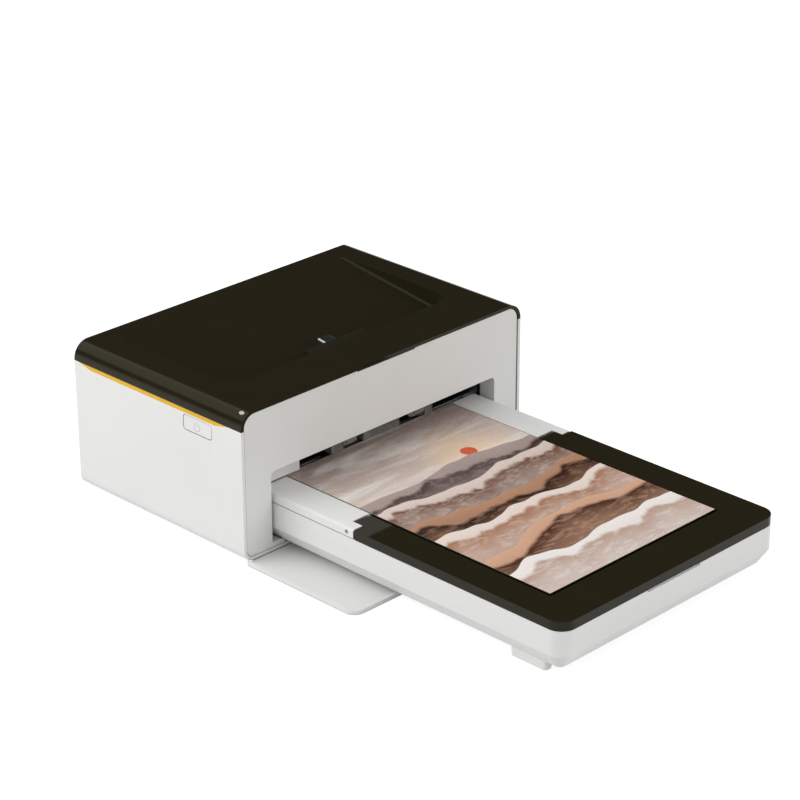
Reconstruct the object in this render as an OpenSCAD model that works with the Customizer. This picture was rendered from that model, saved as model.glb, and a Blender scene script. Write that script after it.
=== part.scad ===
// Compact photo printer with a paper tray, a phone dock on top and a fold-down front door.
// Millimetres. +Z up, the front faces -Y, and the origin is the bottom centre of the whole outline.
// Places along Y below are counted from the body's front face, and from_front() puts them in the frame.

/* [Body] */
// Width of the body
body_w = 166; // [160:1:180]
// Depth of the body, without the tray
body_d = 105; // [104:1:115]
// Height of the body above its feet
body_h = 67; // [66:1:74]
// Height of the rubber feet
foot_h = 1; // [0.8:0.1:1.5]
// Thickness of the shell and the covers
wall = 2; // [1.8:0.1:2.2]
// Radius of the long top edges
top_round = 7.5; // [6:0.5:9]
// Radius of the long bottom edges
bottom_round = 5; // [4:0.5:6]
// Height of the top cover's side skirts
skirt_h = 8; // [8:0.5:10]
// Width of the rim round the front and rear panels
rim = 1.5; // [1.2:0.1:1.8]
// Height of the accent strip
strip_h = 1.8; // [1.4:0.1:2.4]

/* [Phone dock] */
// Width of the dock recess
dock_w = 131; // [120:1:136]
// Distance of the recess from the front face
dock_front = 24.7; // [22:0.1:30]
// Length of the recess
dock_l = 72.3; // [68:0.1:76]
// Depth of the recess at its front wall
dock_depth = 9.6; // [8:0.1:10]
// Radius of the recess's front corners
dock_round = 10; // [6:0.5:14]

/* [Front opening] */
// Width of the body beside the tray opening
side_w = 16; // [15:0.1:17]
// Height of the opening's top edge above the table
opening_top = 36.9; // [36:0.1:40]
// Depth of the opening's reveal
reveal = 9; // [8:0.1:9.5]
// Height of the sill above the table
sill_z = 4.7; // [4:0.1:4.8]

/* [Paper tray] */
// Clearance beside the tray in its opening
tray_gap = 1.5; // [1:0.1:4]
// How far the tray reaches out of the body
tray_reach = 157.5; // [155:0.5:165]
// How far the tray reaches into the body
tray_in = 22; // [21:0.1:22.5]
// Height of the tray's top above the table
tray_top = 26.4; // [26.2:0.1:26.5]
// Height of the tray's bottom above the table
tray_low = 4.5; // [4.2:0.1:5]
// Thickness of the tray's walls
tray_wall = 1.8; // [1.6:0.1:2]
// Radius of the tray's front corners
tray_round = 7; // [5.5:0.5:9]
// Width of the bevel round the tray's bottom
bevel_w = 4.4; // [3.5:0.1:4.8]
// Height of the bevel round the tray's bottom
bevel_h = 6.6; // [5:0.1:7]
// Thickness of the lid and of the rear cover's edge
lid_t = 4.2; // [4:0.1:4.5]
// Distance of the lid's hinge from the body's front face
hinge_out = 42; // [38:0.5:46]
// Depth of the shallow bed that the print lies in
bed = 0.5; // [0.4:0.05:0.6]

/* [Paper] */
// Width of a postcard-size print
print_w = 100; // [98:0.5:102]
// Length of a postcard-size print
print_l = 148; // [146:0.5:150]
// Thickness of one sheet
print_t = 0.25; // [0.2:0.01:0.3]
// Height of the paper stack
stack_h = 5; // [4:0.1:5]

/* [Front door] */
// Reach of the open door from the body's front face
door_reach = 63.4; // [60:0.1:64]
// Height of the door's rim
door_rim_h = 2; // [1.8:0.1:2.2]
// Width of the door's rim
door_rim = 1.4; // [1.2:0.1:2]
// Radius of the door's corners
door_round = 5; // [3:0.5:8]

/* [Buttons] */
// Width of the power button
button_w = 17.6; // [14:0.1:20]
// Height of the power button
button_h = 7; // [6:0.1:7.5]
// Distance of the button's centre from the front face
button_y = 26.6; // [24:0.1:32]
// Travel of the power button
button_travel = 0.8; // [0.5:0.1:1]

/* [Mechanism] */
// Height of the paper path at the feed nip
path_z = 29.5; // [29.4:0.1:29.8]
// Distance of the feed nip from the front face
nip_y = 40; // [39.5:0.1:40.5]
// Radius of the feed roller
feed_r = 3; // [2.8:0.1:3.1]
// Radius of the pinch roller
pinch_r = 3.5; // [3.2:0.1:3.6]
// Radius of the platen roller
platen_r = 6; // [5.5:0.1:6.5]
// Radius of the pick-up roller
pick_r = 4.3; // [4.1:0.1:4.3]
// Radius of the exit rollers
exit_r = 2.9; // [2.6:0.1:3]
// Running clearance of a shaft in its bore, on the radius
run = 0.05; // [0.03:0.01:0.08]
// Tooth module of the gears
gear_m = 0.8; // [0.79:0.01:0.81]

/* [Hidden] */
$fn = 48;

// Thin overlap that lets a cut pass its surface
cut = 1;
gap = 0.3;

// Body levels and faces
base_z = foot_h;
floor_z = base_z + wall;
top_z = base_z + body_h;
seam_z = top_z - skirt_h;
half_w = body_w / 2;
inner_x = half_w - wall;
opening_w = body_w - 2 * side_w;
tray_w = opening_w - 2 * tray_gap;
boss_x = inner_x - 5;
front_y = (tray_reach - body_d) / 2;
panel_y = 0.4;
panel_t = 2;

// Dock floor: a plane that drops from the recess's back edge to its front wall
dock_back = dock_front + dock_l;
dock_tilt = atan(dock_depth / dock_l);
tub_t = 1.8;
plug_w = 7.2;
plug_t = 2;
plug_l = 6;
cradle_w = 34;
cradle_l = 7;
cradle_h = 4;

// Tray places
half_tray = tray_w / 2;
tray_seam = tray_top - lid_t;
cover_back = 10.5;
neck_half = half_tray - 5.4;
lid_round = 1.9;
lid_axis_z = tray_top - lid_round;
cover_front = -(hinge_out - lid_round) + 0.2;
arm_front = -(hinge_out + 3.7);
lid_pin_r = 0.9;
// The lid's shoulder stays outside the circle that the arm's top corner draws round the hinge
lid_back = -(hinge_out + norm([hinge_out + arm_front, lid_round]) + 0.15);
low_wall_z = tray_top - 8.9;
sheet_l = print_l + 24;
stack_back = tray_in - tray_wall - 0.4;
pick_z = path_z - 6.7;
stack_top = pick_z - pick_r - 0.1;
plate_t = 0.8;
plate_top = stack_top - stack_h;
tray_floor = tray_low + tray_wall;

// Shafts and rollers across the machine
sheet_metal = 1.2;
plate_gap = 0.4;
plate_in = opening_w / 2 + plate_gap;
plate_out = plate_in + sheet_metal;
shaft_r = 2;
nip_gap = print_t / 2;
feed_z = path_z - nip_gap - feed_r;
pinch_z = path_z + nip_gap + pinch_r;
platen_y = nip_y + 16;
platen_z = path_z - print_t - platen_r;
pick_y = nip_y - 23;
exit_y = 12.6;
exit_z = tray_top + 0.9 + exit_r;
exit_shaft_r = 1.25;
exit_mid = 8;
exit_space = 20.5;

// Gears on the left side, all in one plane
gear_side = 1.9;
gear_t = 3;
gear_x1 = -plate_out - gear_side;
gear_x0 = gear_x1 - gear_t;
feed_teeth = 32;
pick_teeth = 26;
take_teeth = 20;
idler_teeth = 20;
motor_teeth = 12;
function pitch_r(teeth) = gear_m * teeth / 2;
function dist(a, b) = norm(b - a);
function heading(a, b) = atan2(b[1] - a[1], b[0] - a[0]);
feed_at = [nip_y, feed_z];
pick_at = [nip_y - sqrt(pow(pitch_r(feed_teeth + pick_teeth), 2) - pow(feed_z - pick_z, 2)), pick_z];
take_y = nip_y - 4;
take_at = [take_y, feed_z + sqrt(pow(pitch_r(feed_teeth + take_teeth), 2) - pow(nip_y - take_y, 2))];
idler_turn = -25;
idler_at = feed_at + pitch_r(feed_teeth + idler_teeth) * [cos(idler_turn), sin(idler_turn)];
motor_at = idler_at + [pitch_r(idler_teeth + motor_teeth), 0];
supply_at = [take_y + 41, take_at[1]];

// Turn of the second gear that puts its teeth in the first gear's gaps
function mesh_turn(a, b, ta, tb, turn_a) =
    let (way = heading(a, b), phase = (way - turn_a) * ta / 360)
    way + 180 - (0.5 - phase) * 360 / tb;
pick_turn = mesh_turn(feed_at, pick_at, feed_teeth, pick_teeth, 0);
take_turn = mesh_turn(feed_at, take_at, feed_teeth, take_teeth, 0);
idler_turn_0 = mesh_turn(feed_at, idler_at, feed_teeth, idler_teeth, 0);
motor_turn = mesh_turn(idler_at, motor_at, idler_teeth, motor_teeth, idler_turn_0);

// Ribbon cartridge
case_wall = 1.2;
take_case_r = 9.3;
supply_case_r = 10.5;
web_z = take_at[1] + 8;
web_t = 1.6;
spool_r = 3.2;
take_roll_r = 4.6;
supply_roll_r = 8.2;
ribbon_half = print_w / 2 + 1;
case_half = ribbon_half + 5;
film_t = 0.3;
head_half = 4.5;
head_y0 = platen_y - head_half;
head_y1 = platen_y + head_half;
head_z = path_z + 0.45;
head_top = web_z - 3.2;

// Cartridge door in the right side
hatch_y0 = take_y - take_case_r - 3;
hatch_y1 = supply_at[0] + supply_case_r + 3;
hatch_z0 = take_at[1] - supply_case_r - 2.5;
hatch_z1 = seam_z - strip_h - 0.6;
hatch_x = half_w - wall / 2;
hatch_pin_r = wall * 0.3;

// Front door hinge, just in front of the body's lower edge
door_half = half_w - 0.6;
door_low = 0.1;
door_panel_z = 0.9;
door_axis_y = -0.5;
door_axis_z = 1.6;
knuckle_r = 1;
door_pin_r = 0.5;
knuckle_x0 = 30;
knuckle_x1 = 42;
lug_t = 3;

// Boards and ports
motor_l = 26;
board_x0 = -plate_in + motor_l + 7.4;
board_x1 = plate_in - 3.4;
board_y0 = 50;
board_y1 = body_d - panel_y - panel_t - 0.6;
board_z = floor_z + 3;
board_t = 1.6;
inlet_x = board_x1 - 16;
inlet_r = 4;
usb_x = inlet_x - 26;
rear_slot_w = print_w + 6;
rear_slot_h = 6;

module from_front() {
    translate([0, front_y, 0]) children();
}

module span(x, y, z) {
    translate([x[0], y[0], z[0]]) cube([x[1] - x[0], y[1] - y[0], z[1] - z[0]]);
}

// Extrudes an outline drawn in Y and Z from x0 to x1
module along_x(x0, x1, at = [0, 0]) {
    translate([x0, at[0], at[1]]) rotate([90, 0, 90]) linear_extrude(x1 - x0) children();
}

// Extrudes an outline drawn in X and Z from y0 to y1
module along_y(y0, y1) {
    translate([0, y1, 0]) rotate([90, 0, 0]) linear_extrude(y1 - y0) children();
}

module rod(x0, x1, at, r) {
    along_x(x0, x1, at) circle(r);
}

module both_sides() {
    children();
    mirror([1, 0, 0]) children();
}

// Rectangle with a low and a high corner radius
module round_box_2d(x, y, low_r, high_r) {
    polygon([[x[0] + low_r, y[0]], [x[1] - low_r, y[0]], [x[1], y[0] + low_r], [x[1], y[1] - high_r],
        [x[1] - high_r, y[1]], [x[0] + high_r, y[1]], [x[0], y[1] - high_r], [x[0], y[0] + low_r]]);
    for (cx = [x[0] + low_r, x[1] - low_r]) translate([cx, y[0] + low_r]) circle(low_r);
    for (cx = [x[0] + high_r, x[1] - high_r]) translate([cx, y[1] - high_r]) circle(high_r);
}

// Front view of the body, drawn in by a margin
module body_2d(margin) {
    round_box_2d([margin - half_w, half_w - margin], [base_z + margin, top_z - margin],
        bottom_round - margin, top_round - margin);
}

module hatch_2d(margin) {
    round_box_2d([hatch_y0 + margin, hatch_y1 - margin], [hatch_z0 + margin, hatch_z1 - margin], 1, 2);
}

module button_2d(margin) {
    translate([button_y, seam_z - strip_h - 0.7 - button_h / 2])
        round_box_2d([margin - button_w / 2, button_w / 2 - margin], [margin - button_h / 2, button_h / 2 - margin],
            1.5 - margin, 1.5 - margin);
}

// Involute spur gear outline, its first tooth on the x axis
module gear_2d(teeth, turn) {
    backlash = 0.12;
    pr = pitch_r(teeth);
    base_r = pr * cos(20);
    tip_r = pr + gear_m;
    root_r = pr - 1.25 * gear_m;
    start_r = max(base_r, root_r + 0.02);
    function flank(r) = let (a = sqrt(max(pow(r / base_r, 2) - 1, 0))) a * 180 / PI - atan(a);
    half_tooth = 90 / teeth - backlash / pr * 90 / PI + flank(pr);
    steps = [0, 0.35, 0.7, 1];
    rotate(turn) polygon([for (i = [0 : teeth - 1]) let (mid = i * 360 / teeth) each concat(
        [root_r * [cos(mid - half_tooth - 0.6), sin(mid - half_tooth - 0.6)]],
        [for (s = steps) let (r = start_r + s * (tip_r - start_r), a = mid - half_tooth + flank(r))
            r * [cos(a), sin(a)]],
        [for (k = [len(steps) - 1 : -1 : 0]) let (r = start_r + steps[k] * (tip_r - start_r),
            a = mid + half_tooth - flank(r)) r * [cos(a), sin(a)]],
        [root_r * [cos(mid + half_tooth + 0.6), sin(mid + half_tooth + 0.6)]])]);
}

module gear(at, teeth, turn, bore_r) {
    along_x(gear_x0, gear_x1, at) difference() {
        gear_2d(teeth, turn);
        circle(bore_r);
    }
}

// Outline of the accent strip on a side wall
module strip_2d() {
    slant = 8.3;
    y0 = 7.8;
    y1 = body_d - 2.6;
    polygon([[y0, seam_z], [y1, seam_z], [y1 - slant, seam_z - strip_h], [y0 + slant, seam_z - strip_h]]);
}

module lower_shell() {
    color("#e8e8e5") from_front() {
        difference() {
            union() {
                difference() {
                    along_y(0, body_d) body_2d(0);
                    along_y(-cut, body_d + cut) body_2d(wall);
                    along_y(-cut, panel_y + panel_t + 0.1) body_2d(rim);
                    along_y(body_d - panel_y - panel_t - 0.1, body_d + cut) body_2d(rim);
                }
                both_sides() for (x = [knuckle_x0 - lug_t, knuckle_x1]) {
                    rod(x, x + lug_t, [door_axis_y, door_axis_z], knuckle_r);
                    span([x, x + lug_t], [door_axis_y, panel_y], [base_z, door_axis_z + knuckle_r]);
                }
                both_sides() span([boss_x - 3.5, boss_x + 3.5], [body_d - 10, body_d - panel_y - panel_t - 0.1],
                    [floor_z - 1, 16]);
                for (x = [board_x0 + 6, board_x1 - 6], y = [board_y0 + 6, board_y1 - 6])
                    translate([x, y, floor_z - 0.5]) cylinder(h = board_z - floor_z + 0.5, r = 2.6);
                for (y = [button_y - 13.1, button_y + 10.9])
                    span([-inner_x - 0.5, -inner_x + 5], [y, y + 3], [seam_z - 9, seam_z - 4]);
            }
            span([-half_w - cut, half_w + cut], [-cut, body_d + cut], [seam_z, top_z + cut]);
            both_sides() along_x(half_w - 1, half_w + cut) strip_2d();
            along_x(-half_w - cut, -inner_x + 0.2) button_2d(0);
            along_x(inner_x - cut, half_w + cut) hatch_2d(0);
            along_y(hatch_y0 - 1.7, hatch_y1 + 1.7) translate([hatch_x, hatch_axis_z()]) circle(hatch_pin_r + run);
            both_sides() {
                span([knuckle_x0, knuckle_x1], [-cut, 1], [-cut, floor_z + cut]);
                rod(knuckle_x0 - lug_t - cut, knuckle_x1 + lug_t + cut, [door_axis_y, door_axis_z], door_pin_r);
                translate([boss_x, body_d, screw_z()]) rotate([90, 0, 0]) cylinder(h = 8.6, r = 1.2);
                for (y = foot_places()) translate([foot_x(), y, base_z - cut]) cylinder(h = cut + 0.5, r = 5);
                for (y = flange_places()) translate([flange_x(), y, floor_z - 1.5]) cylinder(h = 2, r = 1.2);
            }
        }
    }
}

function hatch_axis_z() = hatch_z0 + gap + wall / 2;
function screw_z() = 11;
function foot_x() = half_w - 13;
function foot_places() = [12, body_d - 11];
function flange_x() = plate_out + 3.6;
function flange_places() = [33, 88];

// Turns its children into the frame of the sloping dock floor, origin at the floor's back edge
module on_dock() {
    translate([0, dock_back, top_z]) rotate([dock_tilt, 0, 0]) children();
}

// Plan of the dock recess, grown by a margin
module dock_space(margin) {
    intersection() {
        translate([0, 0, seam_z - 20]) linear_extrude(skirt_h + 30)
            round_box_2d([-dock_w / 2 - margin, dock_w / 2 + margin], [dock_front - margin, dock_back + 3],
                dock_round + margin, 1);
        on_dock() translate([-body_w, -2 * dock_l, -margin]) cube([2 * body_w, 2 * dock_l + 6, 40]);
    }
}

module top_cover() {
    color("#26221a") from_front() difference() {
        union() {
            difference() {
                along_y(0, body_d) body_2d(0);
                along_y(-cut, body_d + cut) body_2d(wall);
                along_y(-cut, panel_y + panel_t + 0.1) body_2d(rim);
                along_y(body_d - panel_y - panel_t - 0.1, body_d + cut) body_2d(rim);
                span([-half_w - cut, half_w + cut], [-cut, body_d + cut], [0, seam_z]);
            }
            intersection() {
                dock_space(tub_t);
                span([-half_w, half_w], [0, body_d], [0, top_z - wall / 2]);
            }
        }
        dock_space(0);
    }
}

module accent_strip_left() {
    color("#edb832") from_front() along_x(-half_w, -half_w + 1) strip_2d();
}

module accent_strip_right() {
    color("#edb832") from_front() along_x(half_w - 1, half_w) strip_2d();
}

// Front opening: the tray's window and, below the sill, the gap between the two sill ends
module opening_2d() {
    sill_round = sill_z - 1.7;
    round_box_2d([-opening_w / 2, opening_w / 2], [sill_z, opening_top], 0.4, opening_round());
    difference() {
        translate([-sill_end(), -cut]) square([2 * sill_end(), sill_z + 3]);
        both_sides() translate([sill_end(), sill_z - sill_round]) circle(sill_round);
    }
}

function opening_round() = 2.4;
function sill_end() = half_tray - bevel_w + 1.5;
function window_left() = -43;

module front_fascia() {
    frame_t = 1.4;
    notch_half = 17;
    color("#c9c9c6") from_front() {
        difference() {
            union() {
                along_y(panel_y, panel_y + panel_t) body_2d(rim + 0.1);
                along_y(panel_y + 0.5, reveal) round_box_2d([-opening_w / 2 - frame_t, opening_w / 2 + frame_t],
                    [floor_z, opening_top + frame_t], 0.5, opening_round() + frame_t);
            }
            along_y(-cut, reveal + cut) opening_2d();
            span([-notch_half, notch_half], [-cut, reveal], [top_z - rim - 0.7, top_z]);
        }
        span([-opening_w / 2 - frame_t, window_left()], [reveal, reveal + frame_t],
            [tray_top + 0.6, opening_top + frame_t]);
    }
}

module rear_panel() {
    y0 = body_d - panel_y - panel_t;
    color("#e2e2df") from_front() difference() {
        along_y(y0, y0 + panel_t) body_2d(rim + 0.1);
        span([-rear_slot_w / 2, rear_slot_w / 2], [y0 - cut, body_d], [path_z - 2, path_z - 2 + rear_slot_h]);
        translate([inlet_x, body_d, inlet_z()]) rotate([90, 0, 0]) cylinder(h = 5, r = inlet_r + 0.1);
        span([usb_x - 6, usb_x + 6], [y0 - cut, body_d], [board_z + board_t - 0.1, inlet_z() + 2.4]);
        for (i = [0 : 6]) span([-62 + 7 * i, -58 + 7 * i], [y0 - cut, body_d], [44, 56]);
        both_sides() translate([boss_x, body_d, screw_z()]) rotate([90, 0, 0]) {
            cylinder(h = 5, r = 1.25);
            cylinder(h = panel_y + 1.2, r = 2.3);
        }
    }
}

function inlet_z() = board_z + board_t + 5;

module rubber_feet() {
    color("#2b2b2b") from_front() both_sides() for (y = foot_places())
        translate([foot_x(), y, 0]) cylinder(h = base_z + 0.5, r = 5);
}

module screw(head_r, head_h, shank_r, shank_l) {
    difference() {
        cylinder(h = head_h, r = head_r);
        translate([-head_r * 0.6, -0.3, head_h - 0.5]) cube([head_r * 1.2, 0.6, 1]);
        translate([-0.3, -head_r * 0.6, head_h - 0.5]) cube([0.6, head_r * 1.2, 1]);
    }
    translate([0, 0, -shank_l]) cylinder(h = shank_l, r = shank_r);
}

module shell_screws() {
    color("#8d8f92") from_front() both_sides()
        translate([boss_x, body_d - panel_y - 1.2, screw_z()]) rotate([-90, 0, 0]) screw(2.2, 1.1, 1.2, 6.8);
}

module dock_cradle() {
    front = -dock_l / cos(dock_tilt) + 1.5;
    color("#1b1b1b") from_front() on_dock() difference() {
        translate([-cradle_w / 2, front, 0]) cube([cradle_w, cradle_l, cradle_h + 2.5]);
        translate([0, front + 2, plug_z()]) rotate([-90, 0, 0]) linear_extrude(cradle_l) plug_2d(0);
        translate([-cradle_w / 2 - cut, front - cut, 4]) rotate([35, 0, 0]) translate([0, -3, 0])
            cube([cradle_w + 2 * cut, 3, 6]);
    }
}

function plug_z() = 4.2;

module plug_2d(margin) {
    r = plug_t / 2 - margin;
    translate([-plug_w / 2 + plug_t / 2, -r]) square([plug_w - plug_t, 2 * r]);
    for (x = [-1, 1]) translate([x * (plug_w - plug_t) / 2, 0]) circle(r);
}

module dock_plug() {
    front = -dock_l / cos(dock_tilt) + 1.5;
    color("#b9bcc0") from_front() on_dock() translate([0, front + 2, plug_z()]) rotate([-90, 0, 0]) difference() {
        linear_extrude(cradle_l - 2 + plug_l) plug_2d(0);
        translate([0, 0, cradle_l - 2]) linear_extrude(plug_l + cut) plug_2d(0.35);
    }
}

module power_button() {
    color("#e6e6e3") from_front() {
        along_x(-half_w, -inner_x + 0.3) button_2d(0.25);
        along_x(-inner_x + 0.3, -inner_x + 1.3) button_2d(-0.8);
    }
}

module button_board() {
    nub_x = -inner_x + 1.3 + button_travel + 0.1;
    board_x = -inner_x + 5;
    mid_z = seam_z - strip_h - 0.7 - button_h / 2;
    color("#2f6b3c") from_front() {
        span([board_x, board_x + 1.2], [button_y - 12.6, button_y + 13.4], [seam_z - 11, seam_z - 2.5]);
        span([nub_x + 0.8, board_x], [button_y - 3, button_y + 3], [mid_z - 3, mid_z + 3]);
        rod(nub_x, nub_x + 1, [button_y, mid_z], 1.5);
    }
}

// Plan of the open door, drawn in by a margin at its rim
module door_2d(margin, back) {
    round_box_2d([margin - door_half, door_half - margin], [margin - door_reach, back], door_round - margin, 1.2);
}

module front_door() {
    color("#e4e4e2") from_front() difference() {
        union() {
            difference() {
                translate([0, 0, door_low]) linear_extrude(door_rim_h - door_low) door_2d(0, -0.2);
                translate([0, 0, door_panel_z]) linear_extrude(door_rim_h) door_2d(door_rim, 6);
                both_sides() span([knuckle_x0 - lug_t - 0.4, knuckle_x1 + lug_t + 0.4], [-2.4, cut], [-cut, 3]);
            }
            both_sides() {
                rod(knuckle_x0 + 0.2, knuckle_x1 - 0.2, [door_axis_y, door_axis_z], knuckle_r);
                span([knuckle_x0 + 0.2, knuckle_x1 - 0.2], [-3.2, door_axis_y], [door_low + 0.5, door_axis_z + 0.4]);
            }
        }
        both_sides() rod(knuckle_x0, knuckle_x1, [door_axis_y, door_axis_z], door_pin_r + run);
    }
}

module door_hinge_pins() {
    color("#9a9c9f") from_front() both_sides()
        rod(knuckle_x0 - lug_t, knuckle_x1 + lug_t, [door_axis_y, door_axis_z], door_pin_r);
}

module cartridge_door() {
    axis_z = hatch_axis_z();
    color("#e6e6e3") from_front() difference() {
        union() {
            difference() {
                along_x(inner_x, half_w) hatch_2d(gap);
                span([inner_x - cut, half_w + cut], [0, body_d], [0, axis_z]);
            }
            along_y(hatch_y0 + gap, hatch_y1 - gap) translate([hatch_x, axis_z]) circle(wall / 2);
            along_y(hatch_y0 - 1.5, hatch_y1 + 1.5) translate([hatch_x, axis_z]) circle(hatch_pin_r);
        }
        translate([half_w + 5, (hatch_y0 + hatch_y1) / 2, hatch_z1 - 5]) rotate([0, 90, 0])
            translate([0, 0, -6]) cylinder(h = 8, r = 4);
    }
}

// Side plate outline with the bores that every shaft needs
module plate_2d(cartridge_side) {
    y1 = body_d - 5;
    difference() {
        translate([reveal + 2, floor_z]) square([y1 - reveal - 2, plate_high() - floor_z]);
        for (p = [feed_at, pick_at, [platen_y, platen_z]]) translate(p) circle(shaft_r + run);
        translate([nip_y, pinch_z]) circle(1.5 + run);
        for (p = tie_places()) translate(p) circle(shaft_r);
        for (z = [head_pin_z(), head_pin_z() + head_lift()]) translate([platen_y, z]) circle(1.5 + run);
        translate([platen_y - 1.5 - run, head_pin_z()]) square([3 + 2 * run, head_lift()]);
        if (cartridge_side) {
            translate(take_at) circle(take_case_r + 0.6);
            translate(supply_at) circle(supply_case_r + 0.6);
            translate([take_y, web_z - 0.6]) square([supply_at[0] - take_y, web_t + 1.2]);
        } else {
            translate(take_at) circle(shaft_r + run);
            translate(idler_at) circle(1.5);
            translate(motor_at) circle(3);
        }
    }
}

function tie_places() = [[18, 46], [body_d - 9, 22.5], [body_d - 9, 52]];
function plate_high() = take_at[1] + supply_case_r + 0.2;
function head_pin_z() = head_z + 9;
function head_lift() = 2;

// Side plate with its two screw flanges, drawn on the +X side
module side_plate(cartridge_side) {
    difference() {
        union() {
            along_x(plate_in, plate_out) plate_2d(cartridge_side);
            for (y = flange_places()) span([plate_in, plate_out + 7], [y - 6, y + 6], [floor_z, floor_z + sheet_metal]);
        }
        for (y = flange_places()) translate([flange_x(), y, 0]) cylinder(h = 10, r = 1.25);
    }
}

module chassis_plate_left() {
    color("#a9acaf") from_front() mirror([1, 0, 0]) side_plate(false);
}

module chassis_plate_right() {
    color("#a9acaf") from_front() side_plate(true);
}

module chassis_tie_bars() {
    color("#b5b7ba") from_front() for (p = tie_places()) rod(-plate_out, plate_out, p, shaft_r);
}

module chassis_screws() {
    color("#8d8f92") from_front() both_sides() for (y = flange_places())
        translate([flange_x(), y, floor_z + sheet_metal]) screw(2.2, 1.3, 1.2, 2.6);
}

// Dark guide behind the slot: a beam with three ribbed blocks that carry the exit shaft
module exit_guide() {
    low = exit_z - 2.3;
    high = opening_top - 2;
    front = exit_y - 2.2;
    back = exit_y + 3.8;
    color("#2a2a2b") from_front() difference() {
        union() {
            span([-plate_in, plate_in], [back, back + 2.6], [exit_z + 1, high + 1]);
            for (x = [-27, 0, 27]) let (half = x == 0 ? 9 : 3)
                span([exit_mid + x - half, exit_mid + x + half], [front, back + 1], [low, high]);
        }
        rod(exit_mid - 40, exit_mid + 40, [exit_y, exit_z], exit_shaft_r + run);
        for (i = [-3 : 3]) span([exit_mid + 2.4 * i - 0.6, exit_mid + 2.4 * i + 0.6], [front - cut, front + 0.7],
            [low - cut, high + cut]);
    }
}

module exit_shaft() {
    color("#b5b7ba") from_front() rod(exit_mid - 30, exit_mid + 30, [exit_y, exit_z], exit_shaft_r);
}

module exit_rollers() {
    color("#b4b5b1") from_front() for (side = [-1, 1]) let (x = exit_mid + side * exit_space - 2.5)
        along_x(x, x + 5, [exit_y, exit_z]) difference() {
            circle(exit_r);
            circle(exit_shaft_r);
        }
}

module pickup_shaft() {
    color("#b5b7ba") from_front() rod(gear_x0 - 0.5, plate_out + 1, pick_at, shaft_r);
}

module pickup_roller() {
    color("#57595b") from_front() along_x(-14, 14, pick_at) difference() {
        circle(pick_r);
        circle(shaft_r);
    }
}

module pickup_gear() {
    color("#d9d5c8") from_front() gear(pick_at, pick_teeth, pick_turn, shaft_r);
}

module feed_roller() {
    color("#9fa2a6") from_front() {
        rod(-ribbon_half - 3, ribbon_half + 3, feed_at, feed_r);
        rod(gear_x0 - 0.5, plate_out + 1, feed_at, shaft_r);
    }
}

module feed_gear() {
    color("#d9d5c8") from_front() gear(feed_at, feed_teeth, 0, shaft_r);
}

module pinch_roller() {
    color("#4a4c4e") from_front() {
        rod(-ribbon_half - 1, ribbon_half + 1, [nip_y, pinch_z], pinch_r);
        rod(-plate_out - 0.6, plate_out + 0.6, [nip_y, pinch_z], 1.5);
    }
}

module platen_shaft() {
    color("#b5b7ba") from_front() rod(-plate_out - 1, plate_out + 1, [platen_y, platen_z], shaft_r);
}

module platen_roller() {
    color("#3a3b3c") from_front() along_x(-ribbon_half - 1, ribbon_half + 1, [platen_y, platen_z]) difference() {
        circle(platen_r);
        circle(shaft_r);
    }
}

module idler_axle() {
    color("#b5b7ba") from_front() {
        rod(gear_x0 - 0.3, -plate_in, idler_at, 1.5);
        rod(gear_x0 - 1.3, gear_x0 - 0.3, idler_at, 2.4);
    }
}

module idler_gear() {
    color("#d9d5c8") from_front() gear(idler_at, idler_teeth, idler_turn_0, 1.5 + run);
}

module feed_motor() {
    color("#8b8e92") from_front() difference() {
        union() {
            rod(-plate_in, -plate_in + motor_l, motor_at, 10);
            rod(-plate_out, -plate_in, motor_at, 3);
        }
        rod(-plate_out - cut, -plate_in + 15, motor_at, 1 + run);
    }
}

module motor_pinion() {
    color("#c8b070") from_front() {
        rod(gear_x0 - 0.5, -plate_in + 14, motor_at, 1);
        gear(motor_at, motor_teeth, motor_turn, 0.9);
    }
}

module print_head() {
    color("#d8d2c2") from_front() {
        span([-ribbon_half - 1, ribbon_half + 1], [head_y0, head_y1], [head_z + 0.8, head_z + 3]);
        rod(-ribbon_half - 1, ribbon_half + 1, [platen_y, head_z + 1.2], 1.2);
    }
}

module head_heatsink() {
    sink_half = ribbon_half + 3;
    color("#babdc1") from_front() {
        difference() {
            span([-sink_half, sink_half], [head_y0, head_y1], [head_z + 3, head_top]);
            for (y = [head_y0 + 1.5, head_y0 + 4, head_y0 + 6.5]) span([-sink_half - cut, sink_half + cut],
                [y, y + 1.2], [head_pin_z() + 3, head_top + cut]);
        }
        both_sides() rod(sink_half - 1, plate_out + 0.6, [platen_y, head_pin_z()], 1.5);
    }
}

// Where a line from a point touches a roll, on the side given by 1 or -1
function touch_point(c, r, p, side) =
    let (way = heading(c, p) + side * acos(r / dist(c, p))) c + r * [cos(way), sin(way)];

film_front = [head_y0 - 0.4, path_z + 0.15];
film_rear = [head_y1 + 0.4, path_z + 0.15];
film_take = touch_point(take_at, take_roll_r + gap, film_front, 1);
film_supply = touch_point(supply_at, supply_roll_r + gap, film_rear, -1);

// Flat band from p to q in the Y and Z plane
module band_2d(p, q, t) {
    side = t / 2 * [p[1] - q[1], q[0] - p[0]] / dist(p, q);
    polygon([p + side, p - side, q - side, q + side]);
}

module ribbon_film() {
    color("#3b2f5c") from_front() along_x(-ribbon_half + 1, ribbon_half - 1) {
        band_2d(film_take, film_front, film_t);
        band_2d(film_front, film_rear, film_t);
        band_2d(film_rear, film_supply, film_t);
        for (p = [film_front, film_rear]) translate(p) circle(film_t / 2);
    }
}

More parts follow.
